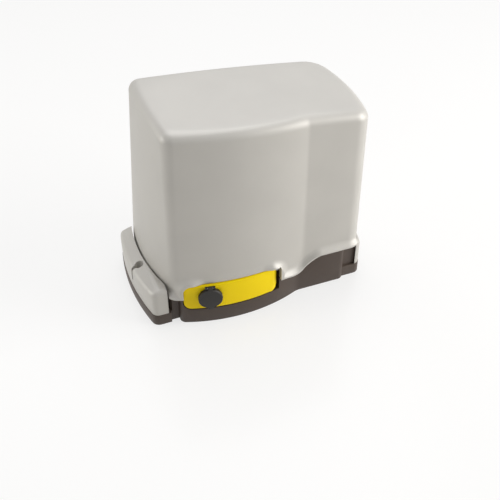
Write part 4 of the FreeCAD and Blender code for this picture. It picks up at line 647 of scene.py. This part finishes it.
# %% Cut the hood's openings
CUT_FRONT, CUT_BACK = -135.0, (45.0, 110.0)
cut_away(hood, prism("lever_cut", rounded_box(
    -LEVER_LEFT - LEVER_GAP, LEVER_RIGHT + LEVER_GAP, LEVER_LOW - LEVER_GAP, LEVER_HIGH + LEVER_GAP,
    LEVER_CUT_ROUNDS), CUT_FRONT, -76.0))
cut_away(hood, upright("knuckle_cut", KNUCKLE_SWEEP, PIVOT_X, PIVOT_Y, 20.0, 71.2))
cut_away(hood, prism("swing_cut", rounded_box(
    PIVOT_X, LEVER_RIGHT + SWING_ROOM, 20.0, LEVER_HIGH + LEVER_GAP,
    (0.01, 0.01, 2.5, 0.01)), CUT_FRONT, PIVOT_Y))
reach = NOSE_RADIUS + NOSE_GAP
nose = [(OUTPUT_X + reach * math.cos(math.radians(a)), OUTPUT_Z + reach * math.sin(math.radians(a)))
        for a in range(0, 181, 4)]
cut_away(hood, prism("nose_cut", nose + [(OUTPUT_X - reach, 20.0), (OUTPUT_X + reach, 20.0)],
                     *CUT_BACK))
cut_away(hood, prism("switch_cut", rounded_box(
    OUTPUT_X - SLOT_HALF, OUTPUT_X + SLOT_HALF, OUTPUT_Z, SLOT_HIGH, (0.01, 0.01, 4.0, 4.0)),
    *CUT_BACK))
print("hood after cutting:", len(hood.data.polygons), "faces")

# %% [markdown]
# A moulded edge is never sharp. A narrow bevel on every edge that turns by more than 50 degrees
# rounds the openings and the lower rim, and leaves the smooth wall as it is.

# %% Soften the hood's cut edges
soften = hood.modifiers.new("edge", "BEVEL")
soften.width, soften.segments, soften.limit_method = 0.7 * MM, 3, "ANGLE"
soften.angle_limit = math.radians(50)
soften.use_clamp_overlap = True
apply_modifiers(hood)
smooth_by_angle(hood, 40)
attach(hood, "hood_body")
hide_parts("hood")
print("hood:", len(hood.data.polygons), "faces")


# %% [markdown]
# The other pieces that are seen keep their engineering shape, but a real moulding or casting has no
# knife edges. A copy of the node is welded, its flat areas joined, and a fine bevel rounds each edge,
# so that it catches the light. Modelling them again would only risk leaving their engineering place.

# %% Refine a copy of a node
def refined(name, node_name, body, width, segments=2, angle=32, flat=1.2):
    """A copy of a node with its edges softened, riding on the same body."""
    source = NODES[node_name]
    made = bpy.data.objects.new(name, source.data.copy())
    bpy.context.scene.collection.objects.link(made)
    if made.data.has_custom_normals:
        with bpy.context.temp_override(object=made, active_object=made):
            bpy.ops.mesh.customdata_custom_splitnormals_clear()
    shape = bmesh.new()
    shape.from_mesh(made.data)
    bmesh.ops.remove_doubles(shape, verts=shape.verts, dist=2e-6)
    bmesh.ops.dissolve_limit(shape, angle_limit=math.radians(flat), verts=shape.verts,
                             edges=shape.edges)
    shape.to_mesh(made.data)
    shape.free()
    if width:
        soften = made.modifiers.new("edge", "BEVEL")
        soften.width, soften.segments = width * MM, segments
        soften.limit_method, soften.angle_limit = "ANGLE", math.radians(angle)
        soften.use_clamp_overlap = True
        apply_modifiers(made)
    smooth_by_angle(made, angle)
    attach(made, body)
    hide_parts(node_name)
    return made


REFINED = (
    ("base_moulding", "base", "base_unit", "dark_base", 0.6),
    ("left_cover_moulding", "foot_cover_left", "left_foot_cover", "silver_paint", 0.6),
    ("right_cover_moulding", "foot_cover_right", "right_foot_cover", "silver_paint", 0.6),
    ("lever_moulding", "release_lever", "lever", "yellow", 0.35),
    ("cap_moulding", "lock_cap", "flip_cap", "black_plastic", 0.5),
    ("sleeve_turning", "lock_sleeve", "lever", "bearing_steel", 0.25),
    ("housing_casting", "gearbox_housing", "base_unit", "aluminium", 1.0),
    ("cover_casting", "gearbox_cover", "base_unit", "aluminium", 0.8),
    ("motor_casting", "motor_housing", "base_unit", "aluminium", 0.5),
    ("end_cap_casting", "motor_end_cap", "base_unit", "aluminium", 0.6),
)
DRESSED = {}
for name, node_name, body, slot, width in REFINED:
    DRESSED[name] = refined(name, node_name, body, width)
    print(name, len(DRESSED[name].data.polygons), "faces")

# %% [markdown]
# The two lugs that carry the cap's hinge pin are black like the cap, though they are moulded on the
# yellow lever. Every face that stands proud of the lever's face near the hinge gets the second finish.

# %% Black hinge lugs
lever = DRESSED["lever_moulding"]
lever.data.materials.append(FINISHES["black_plastic"])
black_faces = 0
for face in lever.data.polygons:
    x, y, z = (c / MM for c in face.center)
    over = math.hypot(x + APEX_LEFT, y - (BULGE_RADIUS - BULGE_APEX)) - BULGE_RADIUS - LEVER_PROUD
    if over > 0.12 and z > 62.0:
        face.material_index = 1
        black_faces += 1
print("black faces on the lever:", black_faces)

# %% [markdown]
# Whatever repeats is made with Geometry Nodes. A tree is built once, with named inputs for its
# sizes, and a modifier runs it; the result is turned into a plain mesh before it rides on a body.
# The same small class that does sums for materials does them for points.

# %% A geometry tree and its named inputs
KINDS = {"int": "NodeSocketInt", "size": "NodeSocketFloat"}


def new_tree(name, inputs):
    """A geometry tree with a geometry input, named number inputs and a geometry output."""
    tree = bpy.data.node_groups.new(name, "GeometryNodeTree")
    tree.interface.new_socket("Geometry", in_out="INPUT", socket_type="NodeSocketGeometry")
    for label, kind in inputs:
        tree.interface.new_socket(label, in_out="INPUT", socket_type=KINDS[kind])
    tree.interface.new_socket("Geometry", in_out="OUTPUT", socket_type="NodeSocketGeometry")
    entry = tree.nodes.new("NodeGroupInput")
    wires = {label: Wire(tree, entry.outputs[label]) for label, kind in inputs}
    wires["Geometry"] = Wire(tree, entry.outputs["Geometry"])
    return tree, wires


def close_tree(tree, last, finish):
    """Ends a tree with Realize Instances and Set Material."""
    real = add_node(tree, "GeometryNodeRealizeInstances", Geometry=last)
    dressed = add_node(tree, "GeometryNodeSetMaterial", Geometry=Wire(tree, real.outputs[0]))
    dressed.inputs["Material"].default_value = FINISHES[finish]
    leave = tree.nodes.new("NodeGroupOutput")
    tree.links.new(dressed.outputs[0], leave.inputs["Geometry"])


def run_tree(name, tree, points, values, finish):
    """A plain mesh made by a tree from points in millimetres and values for its inputs."""
    made = new_object(name, points, [], finish)
    step = made.modifiers.new("make", "NODES")
    step.node_group = tree
    for item in tree.interface.items_tree:
        if item.item_type == "SOCKET" and item.in_out == "INPUT" and item.name in values:
            step[item.identifier] = values[item.name]
    apply_modifiers(made)
    if not made.data.materials:
        made.data.materials.append(FINISHES[finish])
    return made


print("kinds of input:", sorted(KINDS))

# %% [markdown]
# The pinion's shape follows a rule: the radius of its outline swings between root and tip sixteen
# times round. The tree draws that outline, fills it round the bore, and draws it out to its width.
# A bevel then breaks the teeth's edges, as a hobbed steel gear has them.

# %% Pinion
def toothed_tree():
    """Tree for a spur gear's solid, along Z."""
    tree, given = new_tree("toothed_wheel", (("Teeth", "int"), ("Tip", "size"), ("Root", "size"),
                                             ("Bore", "size"), ("Width", "size")))
    per_tooth = 20
    round_one = add_node(tree, "GeometryNodeCurvePrimitiveCircle",
                         Resolution=given["Teeth"] * per_tooth, Radius=1.0)
    index = Wire(tree, tree.nodes.new("GeometryNodeInputIndex").outputs[0])
    phase = (index * (1.0 / per_tooth) + 0.5).maths("FRACT", index * (1.0 / per_tooth) + 0.5)
    off = (phase - 0.5).maths("ABSOLUTE", phase - 0.5) * 2.0
    ramp = add_node(tree, "ShaderNodeMapRange", From_Min=0.34, From_Max=0.70)
    tree.links.new(off.socket, ramp.inputs[0])
    radius = given["Tip"] - (given["Tip"] - given["Root"]) * Wire(tree, ramp.outputs[0])
    place = Wire(tree, tree.nodes.new("GeometryNodeInputPosition").outputs[0])
    pushed = add_node(tree, "ShaderNodeVectorMath", {"operation": "SCALE"})
    tree.links.new(place.socket, pushed.inputs[0])
    tree.links.new(radius.socket, pushed.inputs["Scale"])
    rim = add_node(tree, "GeometryNodeSetPosition", Geometry=Wire(tree, round_one.outputs[0]),
                   Position=Wire(tree, pushed.outputs[0]))
    bore = add_node(tree, "GeometryNodeCurvePrimitiveCircle", Resolution=64, Radius=given["Bore"])
    both = tree.nodes.new("GeometryNodeJoinGeometry")
    tree.links.new(rim.outputs[0], both.inputs[0])
    tree.links.new(bore.outputs[0], both.inputs[0])
    flat = add_node(tree, "GeometryNodeFillCurve", Curve=Wire(tree, both.outputs[0]))
    drawn = add_node(tree, "GeometryNodeExtrudeMesh", Mesh=Wire(tree, flat.outputs[0]),
                     Offset_Scale=given["Width"])
    drawn.inputs["Individual"].default_value = False
    turned = add_node(tree, "GeometryNodeFlipFaces", Mesh=Wire(tree, flat.outputs[0]))
    whole = tree.nodes.new("GeometryNodeJoinGeometry")
    tree.links.new(drawn.outputs[0], whole.inputs[0])
    tree.links.new(turned.outputs[0], whole.inputs[0])
    welded = add_node(tree, "GeometryNodeMergeByDistance", Geometry=Wire(tree, whole.outputs[0]),
                      Distance=1e-6)
    close_tree(tree, Wire(tree, welded.outputs[0]), "steel")
    return tree


PINION_TEETH, PINION_MODULE, PINION_WIDE, PINION_START = 16, 4.0, 28.0, 88.0
PINION_BORE = 12.56
pitch = PINION_TEETH * PINION_MODULE / 2
pinion = run_tree("pinion_gear", toothed_tree(), [(0, 0, 0)], {
    "Teeth": PINION_TEETH, "Tip": (pitch + PINION_MODULE) * MM,
    "Root": (pitch - 1.2 * PINION_MODULE) * MM, "Bore": PINION_BORE * MM,
    "Width": PINION_WIDE * MM}, "steel")
for vertex in pinion.data.vertices:
    x, y, z = vertex.co
    vertex.co = (x + OUTPUT_X * MM, (PINION_START + PINION_WIDE) * MM - z, y + OUTPUT_Z * MM)
tidy_mesh(pinion)
edge = pinion.modifiers.new("edge", "BEVEL")
edge.width, edge.segments, edge.limit_method = 0.5 * MM, 2, "ANGLE"
edge.angle_limit = math.radians(40)
apply_modifiers(pinion)
smooth_by_angle(pinion, 35)
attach(pinion, "output")
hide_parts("pinion")
print("pinion:", len(pinion.data.polygons), "faces,", [round(c, 4) for c in pinion.dimensions])

# %% [markdown]
# Screws of one kind are one tree: a slightly tapered head, a washer, and a recess cut into the head.
# The tree puts one on every point that it is given. Sizes and the recess's number of sides are
# inputs, so the gearbox's cap screws and the small screws of the terminals share it.

# %% Screws on points
def screw_tree(finish):
    """Tree that stands a socket screw on every point, its head towards -Y."""
    tree, given = new_tree("screws_" + finish, (
        ("Head", "size"), ("Height", "size"), ("Washer", "size"), ("Socket", "size"),
        ("Sides", "int"), ("Deep", "size")))
    head = add_node(tree, "GeometryNodeMeshCone", Vertices=32, Radius_Top=given["Head"] * 0.93,
                    Radius_Bottom=given["Head"], Depth=given["Height"])
    socket = add_node(tree, "GeometryNodeMeshCylinder", Vertices=given["Sides"],
                      Radius=given["Socket"], Depth=given["Deep"] * 2.0)
    lift = tree.nodes.new("ShaderNodeCombineXYZ")
    tree.links.new(given["Height"].socket, lift.inputs["Z"])
    raised = add_node(tree, "GeometryNodeTransform", Geometry=Wire(tree, socket.outputs[0]),
                      Translation=Wire(tree, lift.outputs[0]))
    bored = tree.nodes.new("GeometryNodeMeshBoolean")
    bored.operation = "DIFFERENCE"
    tree.links.new(head.outputs[0], bored.inputs[0])
    tree.links.new(raised.outputs[0], bored.inputs[1])
    washer = add_node(tree, "GeometryNodeMeshCylinder", Vertices=32, Radius=given["Washer"],
                      Depth=given["Height"] * 0.2)
    item = tree.nodes.new("GeometryNodeJoinGeometry")
    tree.links.new(bored.outputs[0], item.inputs[0])
    tree.links.new(washer.outputs[0], item.inputs[0])
    spots = add_node(tree, "GeometryNodeMeshToPoints", Mesh=given["Geometry"])
    placed = add_node(tree, "GeometryNodeInstanceOnPoints", Points=Wire(tree, spots.outputs[0]),
                      Instance=Wire(tree, item.outputs[0]))
    placed.inputs["Rotation"].default_value = (math.radians(90), 0, 0)
    close_tree(tree, Wire(tree, placed.outputs[0]), finish)
    return tree


def stand_screws(name, points, head, height, washer, socket, sides, deep, finish, body):
    """Screws of one size on points in millimetres, riding on a body."""
    made = run_tree(name, screw_tree(finish), points, {
        "Head": head * MM, "Height": height * MM, "Washer": washer * MM,
        "Socket": socket * MM, "Sides": sides, "Deep": deep * MM}, finish)
    smooth_by_angle(made, 40)
    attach(made, body)
    print(name, len(points), "screws,", len(made.data.polygons), "faces")
    return made


cover_low, cover_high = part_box("gearbox_cover")
bolts_low, bolts_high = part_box("gearbox_cover_bolts")
inset = 4.5
left, right = bolts_low.x / MM + inset, bolts_high.x / MM - inset
low, high = bolts_low.z / MM + inset, bolts_high.z / MM - inset
front = cover_low.y / MM
cover_screws = stand_screws(
    "cover_screws", [(x, front, z) for x in (left, right) for z in (low, high)],
    4.5, 5.0, 6.2, 2.6, 6, 3.0, "steel", "base_unit")
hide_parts("gearbox_cover_bolts")

# %% [markdown]
# Each of the nine terminals clamps its wire under a small steel screw, here with a square recess. The
# same tree makes them with other sizes, at even steps along the terminal block.

# %% Screws in the terminals
block_low, block_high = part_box("board_terminals")
pitch_x = 9.2
wells = [(block_low.x / MM + 4.2 + pitch_x * k, block_low.y / MM + 4.2, block_low.z / MM + 7.5)
         for k in range(9)]
stand_screws("terminal_screws", wells, 1.8, 0.8, 1.85, 0.9, 4, 0.5, "steel", "base_unit")

# %% [markdown]
# The floor is pale and slightly glossy, so the motor shows in it faintly. Where the camera, a
# reflection or a see-through surface looks at it, some plain white is mixed in, so that it reads as
# white paper and still keeps the motor's shadow. More light would bleach the motor as well.

# %% Floor
def looked_at(tree, light_path):
    """1 for a ray of the camera, a reflection or a see-through surface, and 0 for any other."""
    camera_ray, glossy_ray, through_ray = (
        Wire(tree, light_path.outputs[f"Is {kind} Ray"])
        for kind in ("Camera", "Glossy", "Transmission"))
    return (camera_ray + glossy_ray + through_ray).step(0.0, 0.5)


floor_mesh = bpy.data.meshes.new("floor")
floor_mesh.from_pydata([(-6, -6, 0), (6, -6, 0), (6, 6, 0), (-6, 6, 0)], [], [(0, 1, 2, 3)])
floor = bpy.data.objects.new("floor", floor_mesh)
bpy.context.scene.collection.objects.link(floor)
paper = bpy.data.materials.new("pale_floor")
paper.use_nodes = True
floor_tree = paper.node_tree
floor_surface = floor_tree.nodes["Principled BSDF"]
floor_surface.inputs["Base Color"].default_value = (*linear(250, 248, 244), 1)
floor_surface.inputs["Roughness"].default_value = 0.22
glow = add_node(floor_tree, "ShaderNodeEmission", Color=(1, 1, 1, 1), Strength=1.0)
rays = floor_tree.nodes.new("ShaderNodeLightPath")
floor_mix = floor_tree.nodes.new("ShaderNodeMixShader")
seen = looked_at(floor_tree, rays) * 0.72
floor_tree.links.new(seen.socket, floor_mix.inputs[0])
floor_tree.links.new(floor_surface.outputs[0], floor_mix.inputs[1])
floor_tree.links.new(glow.outputs[0], floor_mix.inputs[2])
floor_tree.links.new(floor_mix.outputs[0], floor_tree.nodes["Material Output"].inputs[0])
floor_mesh.materials.append(paper)
print("floor:", [round(c) for c in floor.dimensions], "m")

# %% [markdown]
# Three soft square lights model the form. One above and behind lights the top, a weak one fills the
# left side, and the strongest stands to the right in front, so that the hood brightens to the right.
# The world gives plain white to the eye and to reflections, and only a dim fill as light.

# %% Lights
def soft_light(name, place, aim, size, power, colour=(1, 1, 1)):
    """A square area light at place, facing aim."""
    light = bpy.data.lights.new(name, "AREA")
    light.shape, light.size, light.energy, light.color = "SQUARE", size, power, colour
    made = bpy.data.objects.new(name, light)
    bpy.context.scene.collection.objects.link(made)
    made.location = place
    made.rotation_mode = "QUATERNION"
    made.rotation_quaternion = (Vector(aim) - Vector(place)).to_track_quat("-Z", "Y")
    return made


CENTRE = (0.0, 0.0, 0.15)
soft_light("top_light", (0.1, 0.5, 1.7), CENTRE, 1.6, 18.0, (0.96, 0.97, 1.0))
soft_light("left_light", (-1.7, 0.45, 0.5), CENTRE, 1.0, 10.0, (1.0, 0.99, 0.95))
soft_light("right_light", (1.6, -0.8, 0.7), CENTRE, 1.2, 30.0, (1.0, 0.99, 0.97))
world = bpy.data.worlds.new("studio")
bpy.context.scene.world = world
world.use_nodes = True
room = world.node_tree
backdrop = room.nodes["Background"]
backdrop.inputs["Color"].default_value = (1, 1, 1, 1)
world_rays = room.nodes.new("ShaderNodeLightPath")
world_power = looked_at(room, world_rays) * 0.79 + 0.21
room.links.new(world_power.socket, backdrop.inputs["Strength"])
bpy.context.scene.view_settings.view_transform = "Standard"
print("lights:", [light.name for light in bpy.data.lights])

# %% [markdown]
# The camera stands in front, a little to the left, and looks well down on the hood. Its place is
# worked out from a turn, a rise and a distance, which are easier to judge than three coordinates.

# %% Camera
lens = bpy.data.cameras.new("camera")
camera = bpy.data.objects.new("camera", lens)
bpy.context.scene.collection.objects.link(camera)
TURN, RAISE, RANGE = math.radians(-20.75), math.radians(42.41), 1.3134
TARGET = Vector((0.0131, -0.0107, 0.0245))
away = Vector((math.sin(TURN) * math.cos(RAISE), -math.cos(TURN) * math.cos(RAISE),
               math.sin(RAISE)))
camera.location = TARGET + away * RANGE
camera.rotation_mode = "QUATERNION"
camera.rotation_quaternion = (-away).to_track_quat("-Z", "Y")
lens.lens, lens.sensor_width = 63.2, 36.0
lens.clip_start, lens.clip_end = 0.05, 50.0
bpy.context.scene.camera = camera
print("camera at", [round(c, 3) for c in camera.location])
